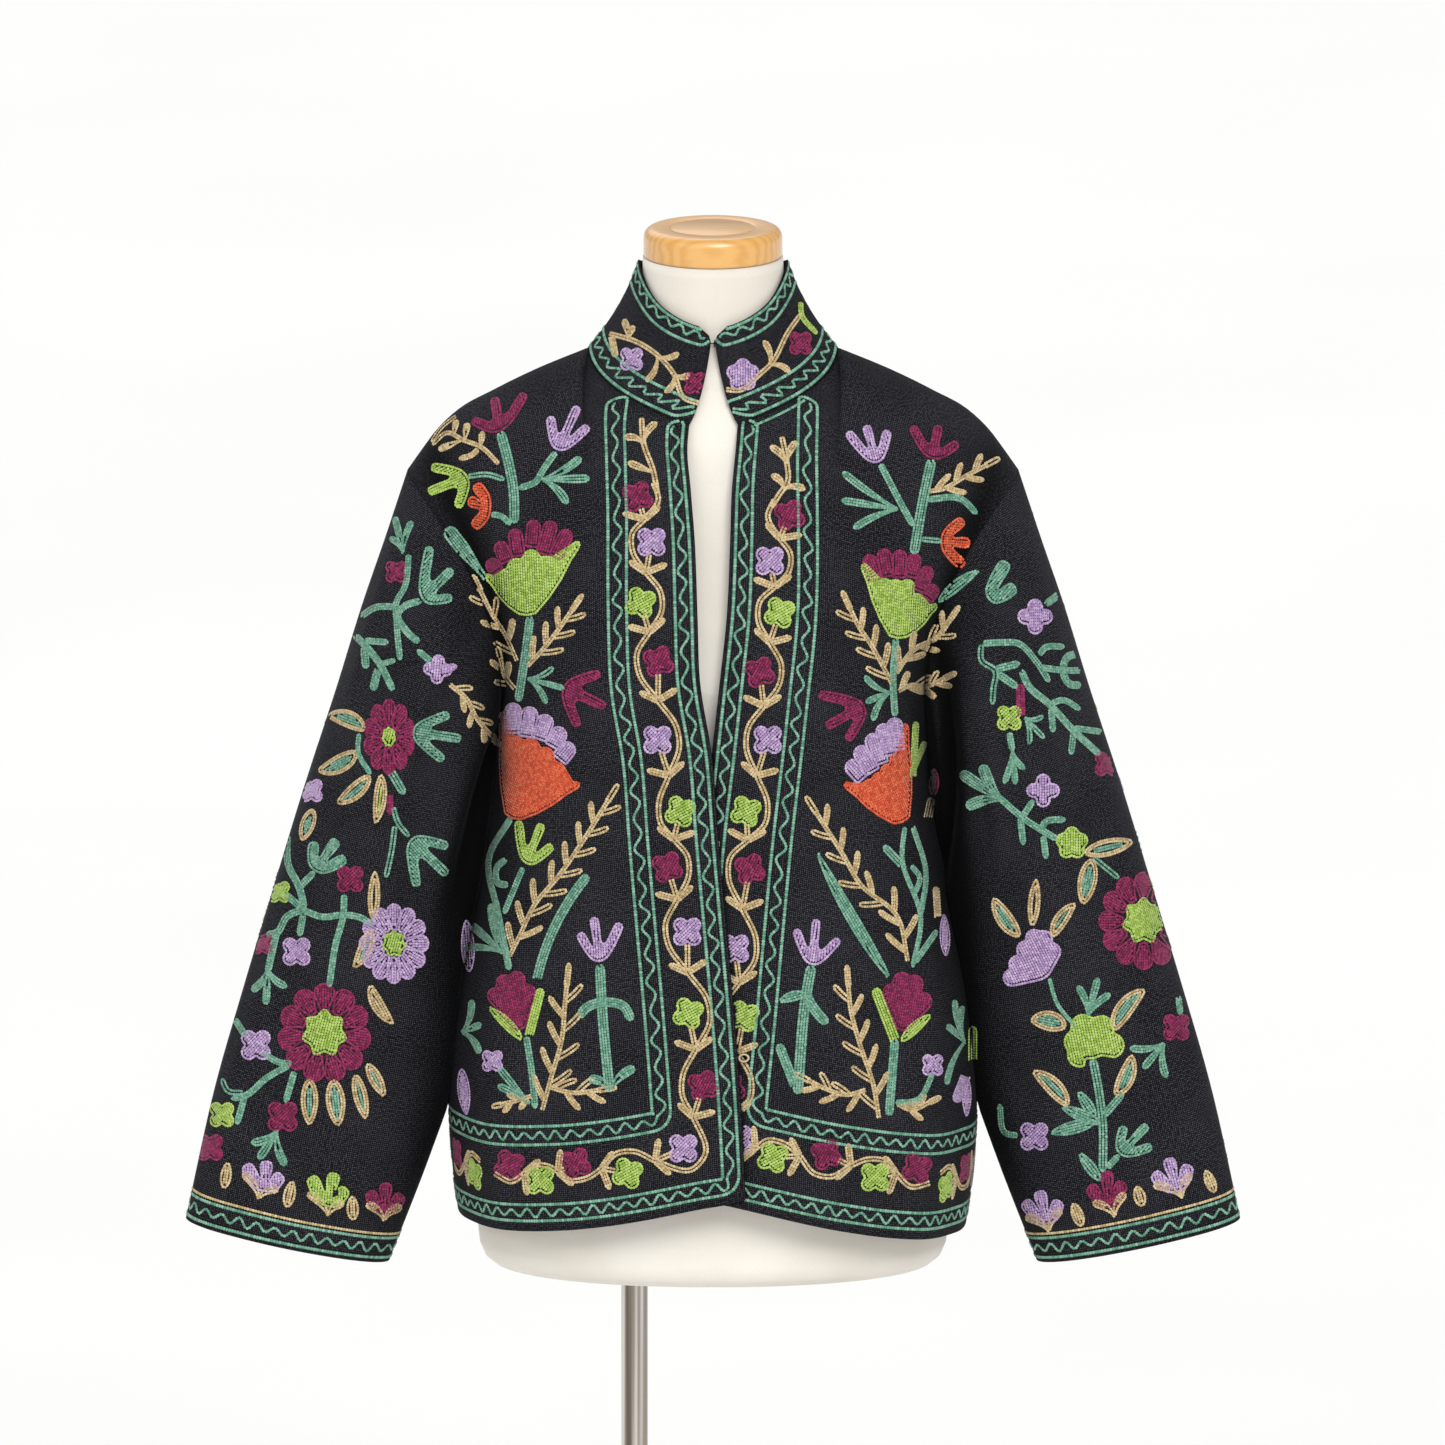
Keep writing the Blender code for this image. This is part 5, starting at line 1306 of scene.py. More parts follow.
class Look:
    """A material: numbers set on its shader, and nodes added and linked to it."""

    def __init__(self, name, numbers):
        self.material = bpy.data.materials.new(name)
        self.material.use_nodes = True
        self.tree = self.material.node_tree
        self.shader = self.tree.nodes["Principled BSDF"]
        for key, value in numbers.items():
            self.shader.inputs[key].default_value = value

    def add(self, kind, output, inputs, **settings):
        """An output of a new node, whose inputs are linked or set."""
        node = self.tree.nodes.new(f"ShaderNode{kind}")
        for key, value in settings.items():
            setattr(node, key, value)
        for key, value in inputs.items():
            if isinstance(value, bpy.types.NodeSocket):
                self.tree.links.new(value, node.inputs[key])
            else:
                node.inputs[key].default_value = value
        return node.outputs[output]

    def link(self, output, key):
        self.tree.links.new(output, self.shader.inputs[key])

    def place(self, scale=None, start=(0, 0, 0)):
        """A place in metres, stretched by a scale where one is given."""
        place = self.add("TexCoord", "Object", {})
        if scale is None:
            return place
        return self.add("Mapping", "Vector", {"Vector": place, "Scale": scale, "Location": start})

    def noise(self, place, scale, detail, roughness=0.5):
        inputs = {"Vector": place, "Scale": scale, "Detail": detail, "Roughness": roughness}
        return self.add("TexNoise", "Fac", inputs)

    def waves(self, place, direction, scale, distortion, detail, detail_scale):
        inputs = {"Vector": place, "Scale": scale, "Distortion": distortion, "Detail": detail,
                  "Detail Scale": detail_scale}
        return self.add("TexWave", "Fac", inputs, bands_direction=direction)

    def times(self, first, second):
        return self.add("Math", 0, {0: first, 1: second}, operation="MULTIPLY")

    def blend(self, first, share, second):
        """A share of the first value, added to the second."""
        return self.add("Math", 0, {0: first, 1: share, 2: second}, operation="MULTIPLY_ADD")

    def spread(self, value, low, high, start=0.0, end=1.0):
        """A value from low to high, spread from start to end."""
        inputs = {"Value": value, "From Min": low, "From Max": high, "To Min": start, "To Max": end}
        return self.add("MapRange", "Result", inputs)

    def dimmed(self, colour, share):
        return self.add("VectorMath", "Vector", {0: colour, "Scale": share}, operation="SCALE")

    def ramp(self, factor, places, codes):
        """A colour ramp through colour codes at places."""
        output = self.add("ValToRGB", "Color", {"Fac": factor})
        elements = output.node.color_ramp.elements
        while len(elements) < len(places):
            elements.new(0.5)
        for element, place, code in zip(elements, places, codes):
            element.position = place
            element.color = linear(code)
        return output

    def painted_fold_shade(self, colour, shares):
        """A colour with painted shade in folds: darkened as less of the space before it is open."""
        open_share = self.add("AmbientOcclusion", "AO", {"Distance": FOLD_REACH}, samples=FOLD_SAMPLES)
        return self.dimmed(colour, self.spread(open_share, *shares, FOLD_SHADE_DARKEST))

    def bump(self, height, strength, distance):
        inputs = {"Height": height, "Strength": strength, "Distance": distance}
        self.link(self.add("Bump", "Normal", inputs), "Normal")


def linear(code):
    """A colour code's linear values."""
    shares = [int(code[i : i + 2], 16) / 255 for i in (1, 3, 5)]
    return (*[s / 12.92 if s <= 0.04045 else ((s + 0.055) / 1.055) ** 2.4 for s in shares], 1)


def cloth_material():
    """Matt woven wool: crossed yarns, flecks, soft fading in patches, and painted shade in its folds and
    hollows.
    """
    look = Look("charcoal_wool", {
        "Roughness": 0.92, "Specular IOR Level": 0.10, "Sheen Weight": 0.06, "Sheen Roughness": 0.40,
        "Sheen Tint": linear("#8a8f98"),
    })
    metres = look.add("UVMap", "UV", {}, uv_map="cloth")
    yarns = [look.waves(metres, way, YARN_BANDS, YARN_TWIST, 2.0, 1.5) for way in ("X", "Y")]
    weave = look.times(*yarns)
    flecks = look.spread(look.noise(metres, FLECK_SCALE, 1.0), 0.3, 0.7)
    patches = look.noise(metres, PATCH_SCALE, 3.0, 0.6)
    mixed = look.times(weave, flecks)
    faded = look.blend(patches, PATCH_SHARE, mixed)
    tones = look.ramp(faded, (0.12, 0.30, 0.80), ("#0e0e11", "#202024", "#56565e"))
    # Painted shade: the colour is darkened along the hollows beside the arms, as far as each point's
    # hollow value asks.
    hollow = look.add("Attribute", "Fac", {}, attribute_name="hollow")
    tones = look.dimmed(tones, look.blend(hollow, -PAINTED_SHADE_DARK, 1.0))
    # Painted shade in folds, by how little open space lies before the cloth
    look.link(look.painted_fold_shade(tones, CLOTH_FOLD_SHADE), "Base Color")
    look.bump(mixed, *CLOTH_BUMP)
    return look.material


def thread_material(name, codes):
    """Wool thread: a tone for each stitch, fine fibres, and painted shade in folds and in the gaps
    between strands.
    """
    look = Look(name, {
        "Roughness": 0.72, "Specular IOR Level": 0.30, "Sheen Weight": 0.22, "Sheen Roughness": 0.45,
    })
    tone = look.add("Attribute", "Fac", {}, attribute_name="tone")
    place = look.place()
    fibres, dye = look.noise(place, FIBRE_SCALE, 2.0, 0.6), look.noise(place, DYE_SCALE, 2.0)
    level = look.blend(dye, DYE_SHARE, look.blend(fibres, FIBRE_SHARE, tone))
    level = look.times(level, TONE_SHARE)
    tones = look.ramp(level, (0.15, 0.50, 0.90), codes)
    # Painted shade in folds and between stitches, by how little open space lies before the thread
    look.link(look.painted_fold_shade(tones, THREAD_FOLD_SHADE), "Base Color")
    look.bump(fibres, *THREAD_BUMP)
    return look.material


def jersey_material():
    """Off-white knitted cover: fine ribs down the form and faint cloudy shading."""
    look = Look("jersey_knit", {"Roughness": 0.85, "Sheen Weight": 0.15, "Sheen Roughness": 0.5})
    place = look.place()
    ribs, clouds = look.noise(place, RIB_SCALE, 2.0, 0.7), look.noise(place, CLOUD_SCALE, 3.0)
    mixed = look.blend(ribs, RIB_SHARE, clouds)
    tones = look.ramp(mixed, (0.45, 0.70, 0.95), ("#ddd6c9", "#e6e0d5", "#efeae1"))
    look.link(tones, "Base Color")
    look.bump(ribs, *JERSEY_BUMP)
    return look.material


def wood_material():
    """Light varnished wood with growth rings across the cap's face and fine pores."""
    look = Look("varnished_wood", {"Roughness": 0.42, "Coat Weight": 1.0, "Coat Roughness": 0.24})
    rings = look.waves(look.place(RING_SCALE, RING_START), "Y", 2.2, 5.0, 3.0, 1.4)
    pores = look.noise(look.place(PORE_SCALE), 1.0, 3.0)
    mixed = look.blend(pores, PORE_SHARE, rings)
    tones = look.ramp(mixed, (0.10, 0.55, 1.00), ("#d59a48", "#dca354", "#e1ab5e"))
    look.link(tones, "Base Color")
    look.bump(pores, *WOOD_BUMP)
    return look.material


def chrome_material(name, scale):
    """Chromed steel with darker and lighter bands, as wide as its scale asks: painted reflections in its
    colour, and rougher in places.
    """
    look = Look(name, {"Metallic": 1.0})
    painted_reflections_and_roughness = look.noise(look.place(scale), 1.0, 4.0)
    look.link(look.spread(painted_reflections_and_roughness, 0.0, 1.0, *CHROME_ROUGHNESS), "Roughness")
    # Painted reflections: the same bands make the chrome's colour darker and lighter
    look.link(look.ramp(painted_reflections_and_roughness, (0.36, 0.52, 0.64), ("#6d655c", "#9c9287", "#d2cec8")), "Base Color")
    return look.material


def lacquer_material():
    """Black lacquered wire, rubbed a little brighter in places."""
    look = Look("black_lacquer", {"Metallic": 0.6, "Roughness": 0.35})
    rubbed = look.noise(look.place(), RUB_SCALE, 3.0)
    look.link(look.ramp(rubbed, (0.35, 0.75), ("#0b0b0c", "#2b2b2d")), "Base Color")
    return look.material


def floor_material():
    """A pale studio floor with faint clouds."""
    look = Look("studio_floor", {"Roughness": 0.95})
    clouds = look.noise(look.place(), FLOOR_SCALE, 2.0)
    look.link(look.ramp(clouds, (0.3, 0.7), ("#f6f6f5", "#f9f9f8")), "Base Color")
    return look.material


# Places on the cloth


class Sight:
    """Finds the cloth behind places of the photograph, or of such a view from another side."""

    unit = MM / PIXEL

    def __init__(self, cloth, azimuth, only=None):
        self.cloth = cloth
        self.only = cloth.names.index(only) if only else None
        self.across, self.up, self.forward = sight_axes(azimuth)
        middle = self.across * (FRAME / 2 - MIDDLE_COLUMN) * PIXEL + self.up * SIGHT_HEIGHT
        self.eye = middle - self.forward * CAMERA_DISTANCE

    def find(self, places):
        """The cloth's places, outward directions and panels, with a panel of -1 where there is none."""
        across = (places[:, 0] - MIDDLE_COLUMN) * PIXEL
        rise = SIGHT_HEIGHT + (MIDDLE_ROW - places[:, 1]) * PIXEL
        through_plane = across[:, None] * self.across + rise[:, None] * self.up
        sight = unit(through_plane - self.eye)
        found, outward, panel = self.cloth.cast(through_plane - sight * SIGHT_START, sight)
        if self.only is not None:
            panel[panel != self.only] = -1
        return found, outward, panel


class Cloth:
    """The outer surfaces of all cut pieces, searched as one."""

    def __init__(self, panels):
        self.names = list(panels)
        points, faces, owner, count = [], [], [], 0
        for number, panel in enumerate(panels.values()):
            flat = panel.outer.reshape(-1, 3)
            points.append(flat)
            faces.append(panel.faces + count)
            owner.append(np.full(len(panel.faces), number))
            count += len(flat)
        self.owner = np.concatenate(owner)
        self.tree = BVHTree.FromPolygons(np.concatenate(points).tolist(), np.concatenate(faces).tolist())

    def cast(self, starts, directions):
        places, outward, panel = np.zeros(starts.shape), np.zeros(starts.shape), []
        for k, (start, direction) in enumerate(zip(starts, directions)):
            place, normal, face, _ = self.tree.ray_cast(Vector(start), Vector(direction), SIGHT_REACH)
            if place is None or normal.dot(direction) > -STEEPEST_SIGHT:
                panel.append(-1)
                continue
            places[k], outward[k] = place, normal
            panel.append(self.owner[face])
        return places, outward, np.array(panel)


class Lay:
    """Finds the cloth of one cut piece by distances along it and up it, in metres."""

    unit = MM

    def __init__(self, cloth, panel, up=None):
        self.number = cloth.names.index(panel.name)
        along, up = panel.along, panel.up if up is None else up
        self.points = panel.points.reshape(-1, 3)
        self.faces = grid_faces(np.arange(along.size).reshape(along.shape))
        self.flip = -1 if FLIPS[panel.name] else 1
        self.flat = np.stack([along, up, np.zeros(along.shape)], axis=-1).reshape(-1, 3)
        self.tree = BVHTree.FromPolygons(self.flat.tolist(), self.faces.tolist())

    def find(self, places):
        found, outward, panel = np.zeros((len(places), 3)), np.zeros((len(places), 3)), []
        for k, (along, up) in enumerate(places):
            place, _, face, distance = self.tree.find_nearest(Vector((along, up, 0)))
            corners = self.faces[face]
            a, b, c = (Vector(self.points[i]) for i in corners)
            flat = [Vector(self.flat[i]) for i in corners]
            found[k] = barycentric_transform(place, *flat, a, b, c)
            outward[k] = (b - a).cross(c - a).normalized() * self.flip
            panel.append(self.number if distance < LAY_MISS else -1)
        return found, outward, np.array(panel)


class Chart:
    """A cut piece's lay as columns and rows of pixels, from its start and a height up it."""

    unit = MM / PIXEL

    def __init__(self, lay, height):
        self.lay, self.height = lay, height

    def find(self, places):
        along = (places[:, 0] - MIDDLE_COLUMN) * PIXEL
        up = self.height + (MIDDLE_ROW - places[:, 1]) * PIXEL
        return self.lay.find(np.stack([along, up], axis=-1))


# Stitches


def dense(line, step):
    """A polyline with evenly spaced points."""
    line = np.asarray(line, float)
    run = run_along(line)
    count = max(2, int(round(run[-1] / step)) + 1)
    return at_run(np.linspace(0, run[-1], count), run, line)


def smooth(points, step):
    """An even curve through a few points."""
    points = np.asarray(points, float)
    if len(points) == 2:
        return dense(points, step)
    run = run_along(points)
    at = np.linspace(0, run[-1], CURVE_STEPS * len(points))
    return dense(np.stack([through(run, points[:, k], at) for k in (0, 1)], axis=-1), step)


def square_to(way):
    """The directions at a right angle to directions in a plane."""
    return np.stack([-way[..., 1], way[..., 0]], axis=-1)


class Needle:
    """Collects the stitches of each colour on each cut piece."""

    def __init__(self, cloth):
        self.cloth = cloth
        self.sewn = {}
        self.random = np.random.default_rng(SEED)

    def row(self, ground, colour, line, width=1.0):
        """One row of chain stitch along a line on a ground, broken where the cloth breaks."""
        places, outward, panel = ground.find(dense(line, SEARCH_STEP * ground.unit))
        jumps = np.linalg.norm(np.diff(places, axis=0), axis=1) > LONGEST_STEP
        breaks = np.flatnonzero((np.diff(panel) != 0) | jumps) + 1
        for run in np.split(np.arange(len(panel)), breaks):
            if len(run) > 1 and panel[run[0]] >= 0:
                self.stitch(colour, self.cloth.names[panel[run[0]]], places[run], outward[run], width)

    def stitch(self, colour, panel, places, outward, width):
        run = run_along(places)
        if len(places) < 3 or run[-1] < PITCH / 2:
            return
        closed = np.linalg.norm(places[-1] - places[0]) < PITCH / 2
        count = max(3 if closed else 1, int(round(run[-1] / PITCH)))
        at = np.linspace(0, run[-1], count + 1)
        nodes = at_run(at, run, places)
        if np.linalg.norm(np.diff(nodes, axis=0), axis=1).min() < PITCH * SHORTEST_LINK:
            return
        up = unit(at_run((at[:-1] + at[1:]) / 2, run, outward))
        along = unit(np.diff(nodes, axis=0))
        up = unit(up - along * np.sum(up * along, axis=-1, keepdims=True))
        size = np.full(count, run[-1] / count)
        widths = width * STITCH_WIDTH * self.random.uniform(*STITCH_VARIES, count)
        self.sewn.setdefault((panel, colour), []).append((nodes[:-1], along, up, size, widths))

    def pieces(self, materials):
        """The objects of each cut piece, one for each colour on it."""
        made = {}
        link, corners = np.array(STITCH_POINTS), np.array(STITCH_FACES)
        for (panel, colour), runs in sorted(self.sewn.items()):
            start, along, up, size, width = (np.concatenate(part) for part in zip(*runs))
            across = np.cross(up, along)
            length = (size * STITCH_OVERLAP)[:, None, None]
            places = start[:, None] + along[:, None] * link[:, 0, None] * length
            places = places + across[:, None] * link[:, 1, None] * width[:, None, None]
            places = places + up[:, None] * (link[:, 2, None] * STITCH_HEIGHT - STITCH_SUNK)
            faces = corners[None] + (np.arange(len(start)) * len(link))[:, None, None]
            name = f"embroidery_{panel}_{colour}"
            piece = add_triangles(name, places.reshape(-1, 3), faces.reshape(-1, 3), materials[colour])
            set_values(piece, "tone", np.repeat(self.random.uniform(0, 1, len(start)), len(link)))
            made.setdefault(panel, []).append(piece)
        return made


# Shapes filled with rows of stitches


def half_widths(kind, run, width):
    """Half of a shape's width along its middle line, by the distances along it."""
    share, left, radius = run / run[-1], run[-1] - run, width / 2
    if kind == "leaf":
        return radius * np.sin(np.pi * share**LEAF_FULLEST) ** LEAF_BLUNT
    if kind == "line":
        return radius + 0 * share
    half = radius
    if kind == "club":
        half = radius * (CLUB_FOOT + CLUB_SWELL * ease(0, CLUB_FULL, share))
    if kind == "rod":
        left = np.minimum(left, run)
    tip = np.sqrt(np.clip(1 - ((radius - left) / radius) ** 2, 0, 1))
    return np.where(left < radius, half * tip, half)


def stretch_at(ground, middle, way, reach):
    """How much longer the cloth is than its view shows, along a way through a place."""
    ends = np.array([middle - way * reach * ground.unit, middle + way * reach * ground.unit])
    places, _, panel = ground.find(ends)
    if (panel < 0).any():
        return 1.0
    stretch = np.linalg.norm(places[1] - places[0]) / (2 * reach * MM)
    return min(max(stretch, 1.0), MOST_STRETCH)


def sew_line(needle, ground, colour, line, width, kind):
    """A stem or finger along its middle line, as wide as asked in millimetres.

    It has up to three rows side by side, or an outline with rows inside it.
    """
    scale = ground.unit
    line = smooth(line, LINE_STEP * scale)
    run = run_along(line) / scale
    way = unit(np.gradient(line, axis=0))
    side = square_to(way)
    half = half_widths(kind, run, width)

    # Where the cloth slopes away the rows lie closer in the view, so more of them are needed
    k = len(line) // 2
    stretch = stretch_at(ground, line[k], side[k], width / 2)
    spacing, inset = ROW_SPACING / stretch, ROW_INSET / stretch
    count = max(1, int(round(width / spacing)))
    deep = np.maximum(half - inset, 0)[:, None]
    if count == 1:
        needle.row(ground, colour, line)
        return
    if count <= MOST_PLAIN_ROWS:
        for offset in np.linspace(-1, 1, count):
            keep = (half > inset * PLAIN_ROW_FROM) | (offset == 0)
            if keep.sum() > 2:
                needle.row(ground, colour, (line + side * (offset * deep) * scale)[keep])
        return
    kept = half > inset
    border = deep * scale * side
    if kept.sum() > 3:
        tip = line[-1:] - way[-1:] * inset * scale
        outline = [(line + border)[kept], tip, (line - border)[kept][::-1]]
        needle.row(ground, colour, np.concatenate(outline))
    for number in range(count - 2):
        offset = (number - (count - 3) / 2) * spacing
        keep = abs(offset) + ROW_CLEAR * spacing < half - inset
        if keep.sum() * LINE_STEP > PITCH / MM:
            needle.row(ground, colour, (line + side * offset * scale)[keep])


def rounded(corners, rounds=2):
    """A closed outline with its corners rounded."""
    points = np.array(corners, float)
    for _ in range(rounds):
        ahead = np.roll(points, -1, axis=0)
        cut = [points * 0.75 + ahead * 0.25, points * 0.25 + ahead * 0.75]
        points = np.stack(cut, axis=1).reshape(-1, 2)
    return points


def depths(outline, places):
    """How deep places lie inside an outline, below zero where they are outside."""
    ends = np.roll(outline, -1, axis=0)
    step = ends - outline
    away = places[:, None] - outline
    share = np.sum(away * step, axis=-1) / np.maximum(np.sum(step * step, axis=-1), SMALLEST)
    gap = np.linalg.norm(away - np.clip(share, 0, 1)[..., None] * step, axis=-1).min(axis=1)
    height = places[:, None, 1]
    crosses = (outline[:, 1] > height) != (ends[:, 1] > height)
    rise = np.where(step[:, 1] == 0, 1, step[:, 1])
    column = outline[:, 0] + (height - outline[:, 1]) * step[:, 0] / rise
    inside = (crosses & (places[:, None, 0] < column)).sum(axis=1) % 2 == 1
    return np.where(inside, gap, -gap)


def sew_runs(needle, ground, colour, line, kept, shortest):
    """Rows along the kept stretches of a line."""
    for run in np.split(np.arange(len(line)), np.flatnonzero(np.diff(kept)) + 1):
        if kept[run[0]] and len(run) > 1 and run_along(line[run])[-1] > shortest:
            needle.row(ground, colour, line[run])


def fill_shape(needle, ground, colours, outline, degrees, rings):
    """A filled shape: rows round it, then rows in one direction inside them."""
    scale = ground.unit
    edge = dense(np.concatenate([outline, outline[:1]]), EDGE_STEP * scale)[:-1]
    ahead, behind = np.roll(edge, -1, axis=0), np.roll(edge, 1, axis=0)
    twice_area = np.sum(edge[:, 0] * ahead[:, 1] - edge[:, 1] * ahead[:, 0])
    inward = square_to(unit(ahead - behind)) * np.sign(twice_area)
    middle = edge.mean(axis=0)
    stretch = stretch_at(ground, middle, np.array([1.0, 0.0]), PROBE)
    inset, spacing = ROW_INSET * scale, ROW_SPACING * scale / math.sqrt(stretch)
    for ring in range(rings):
        deep = inset + ring * spacing
        row = edge + inward * deep
        kept = depths(edge, row) > deep * RING_SHARE
        if kept.sum() < 3:
            break
        row = row[kept]
        jumps = np.linalg.norm(np.roll(row, -1, axis=0) - row, axis=1)
        row = np.roll(row, -((int(np.argmax(jumps)) + 1) % len(row)), axis=0)
        if jumps.max() < WIDEST_JUMP * scale:
            row = np.concatenate([row, row[:1]])
        gaps = np.flatnonzero(np.linalg.norm(np.diff(row, axis=0), axis=1) > WIDEST_JUMP * scale) + 1
        for part in np.split(row, gaps):
            if len(part) > 2:
                needle.row(ground, colours[min(ring, len(colours) - 1)], part)
    turn = math.radians(degrees)
    along, side = np.array([math.sin(turn), -math.cos(turn)]), np.array([math.cos(turn), math.sin(turn)])
    spacing = ROW_SPACING * scale / stretch_at(ground, middle, side, PROBE)
    across, reach = (edge - middle) @ side, (edge - middle) @ along
    count = int((across.max() - across.min()) / spacing)
    offsets = (across.max() + across.min()) / 2 + (np.arange(count) - (count - 1) / 2) * spacing
    at = np.arange(reach.min(), reach.max(), EDGE_STEP * scale)
    places = middle + offsets[:, None, None] * side + at[None, :, None] * along
    limit = inset + (rings - RING_OVERLAP) * ROW_SPACING * scale
    kept = (depths(edge, places.reshape(-1, 2)) > limit).reshape(places.shape[:2])
    for line, keep in zip(places, kept):
        sew_runs(needle, ground, colours[-1], line, keep, SHORTEST_ROW * scale)


def polar(base, degrees, radius):
    """A place from a base, by degrees clockwise from straight up, in a view's rows and columns."""
    turn = math.radians(degrees)
    return (base[0] + radius * math.sin(turn), base[1] - radius * math.cos(turn))


def heading(start, end):
    """Degrees clockwise from straight up, and the distance, from one place to another."""
    across, down = end[0] - start[0], end[1] - start[1]
    return math.degrees(math.atan2(across, -down)), math.hypot(across, down)


def bowed(start, end, bend):
    """A line between two places, bowed to the left for a bend above zero."""
    start, end = np.array(start, float), np.array(end, float)
    side = unit(np.array([end[1] - start[1], start[0] - end[0]]))
    steps = np.linspace(0, 1, BOW_STEPS)[:, None]
    return start + (end - start) * steps + side * bend * 2 * steps * (1 - steps)


def body(line, width, kind):
    """The outline of a petal or leaf along its middle line."""
    line = smooth(line, 1.0)
    side = square_to(unit(np.gradient(line, axis=0)))
    half = np.maximum(half_widths(kind, run_along(line), width), 0.1)[:, None]
    return np.concatenate([line - side * half, (line + side * half)[::-1]])


def lobes(base, tips):
    """The headings of scallops from a base, how far their middles lie, and their radius."""
    radius = SCALLOP * np.mean(np.linalg.norm(np.diff(tips, axis=0), axis=1))
    ways, reaches = np.array([heading(base, tip) for tip in tips]).T
    return np.degrees(np.unwrap(np.radians(ways))), np.maximum(reaches - radius, radius), radius


def lobe_reach(turn, ways, away, radius):
    """How far the edge of scallops lies from their base in one direction."""
    off = np.radians(turn - ways)
    inside = radius**2 - (away * np.sin(off)) ** 2
    reach = np.where(inside > 0, away * np.cos(off) + np.sqrt(np.maximum(inside, 0)), 0).max()
    return max(reach, np.interp(turn, ways, away))


class Motifs:
    """The embroidery's motifs on one ground, by columns and rows of pixels of a view.

    The places are mirrored about the middle and shifted where asked.
    """

    def __init__(self, needle, ground, flip=1, shift=(0, 0)):
        self.needle, self.ground = needle, ground
        self.flip, self.shift = flip, np.array(shift, float)

    def at(self, places):
        middle = np.array([MIDDLE_COLUMN, 0.0])
        return middle + (np.array(places, float) - middle) * (self.flip, 1) + self.shift

    def line(self, colour, places, width, kind="line"):
        sew_line(self.needle, self.ground, colour, self.at(places), width / self.ground.unit, kind)

    def fill(self, colours, outline, degrees, rings=1):
        colours = (colours,) if isinstance(colours, str) else colours
        fill_shape(self.needle, self.ground, colours, self.at(outline), degrees * self.flip, rings)

    def stem(self, colour, width, *places):
        self.line(colour, places, width, "rod")

    def leaf(self, colours, base, tip, width, bend):
        """A leaf in one colour, or one with rings of its first colours round its last."""
        line = bowed(base, tip, bend)
        if width < NARROW:
            self.line(colours, line, width, "finger")
            return
        rings = 1 if isinstance(colours, str) else LEAF_RINGS
        self.fill(colours, body(line, width, "leaf"), heading(base, tip)[0], rings)

    def hand(self, colour, base, tips, width):
        """Fingers that part from a base."""
        mean, _ = heading(base, np.mean(tips, axis=0))
        for tip in tips:
            way, _ = heading(base, tip)
            off = (way - mean + 180) % 360 - 180
            bend = math.copysign(min(abs(off), HAND_TURN) * HAND_BEND, off)
            self.line(colour, bowed(base, tip, bend), width, "club")

    def tulip(self, colour, base, tips, width=10.5):
        """A full body that ends in a few short wide prongs."""
        base, tips = np.array(base, float), np.array(tips, float)
        ways, reach = unit(tips - base), np.linalg.norm(tips - base, axis=1)
        turn = np.sign(ways[0, 0] * ways[-1, 1] - ways[0, 1] * ways[-1, 0]) or 1.0
        sides = square_to(ways) * turn
        half = width / 2
        outline = [base + ways[0] * up * reach[0] - sides[0] * half * out for up, out in TULIP_FOOT]
        for number, (tip, way, side) in enumerate(zip(tips, ways, sides)):
            outline += [tip - way * half * back + side * half * out for back, out in TULIP_PRONG]
            if number + 1 < len(tips):
                between = unit(ways[number] + ways[number + 1])
                outline.append(base + between * (reach[number] + reach[number + 1]) / 2 * VALLEY)
        for up, out in TULIP_FOOT[::-1]:
            outline.append(base + ways[-1] * up * reach[-1] + sides[-1] * half * out)
        self.fill(colour, rounded(outline), heading(base, tips.mean(axis=0))[0])

    def scallop(self, colour, base, tips, foot, ends=()):
        """A body with a scalloped edge through some places, and long sides where asked."""
        base, tips = np.array(base, float), np.array(tips, float)
        ways, away, radius = lobes(base, tips)
        beyond = np.degrees(np.arcsin(np.clip(radius / away, 0, WIDEST_LOBE)))
        turns = np.linspace(ways[0] - beyond[0], ways[-1] + beyond[-1], LOBE_PLACES * len(tips))
        middle = unit(tips.mean(axis=0) - base)
        side = square_to(middle)
        outline = [base - middle * foot * FOOT_DEPTH, base - side * foot]
        if ends:
            outline += self.side(base - side * foot, ends[0], -1)
            turns = turns[LOBE_PLACES // 2 : -LOBE_PLACES // 2]
        outline += [polar(base, turn, lobe_reach(turn, ways, away, radius)) for turn in turns]
        if ends:
            outline += self.side(base + side * foot, ends[1], 1)[::-1]
        outline.append(base + side * foot)
        self.fill(colour, outline, heading(base, tips.mean(axis=0))[0])

    def side(self, foot, tip, hand):
        """One long side of a cup: its outer edge, bowed outwards, and round its tip."""
        tip = np.array(tip, float)
        way = unit(tip - foot)
        out = square_to(way) * hand
        edge = [foot + (tip - foot) * s + out * FAN_BOW * s * (1 - s) * 4 for s in (0.25, 0.5, 0.75)]
        half = FAN_SIDE / 2
        return edge + [tip + (out - way) * half, tip + out * half * 0.5, tip - out * half * 0.5,
                       tip - (out + way) * half]

    def fan(self, colours, base, left, scallops, right, petals, width):
        """A fan-shaped flower: petals that stand out of a scalloped cup between two long sides."""
        base = np.array(base, float)
        cup = lobes(base, np.array(scallops, float))
        for tip in petals:
            way, _ = heading(base, tip)
            start = polar(base, way, lobe_reach(way, *cup) + FAN_GAP)
            self.fill(colours[1], body([start, tip], width, "finger"), way)
        self.scallop(colours[0], base, scallops, FAN_FOOT, (left, right))

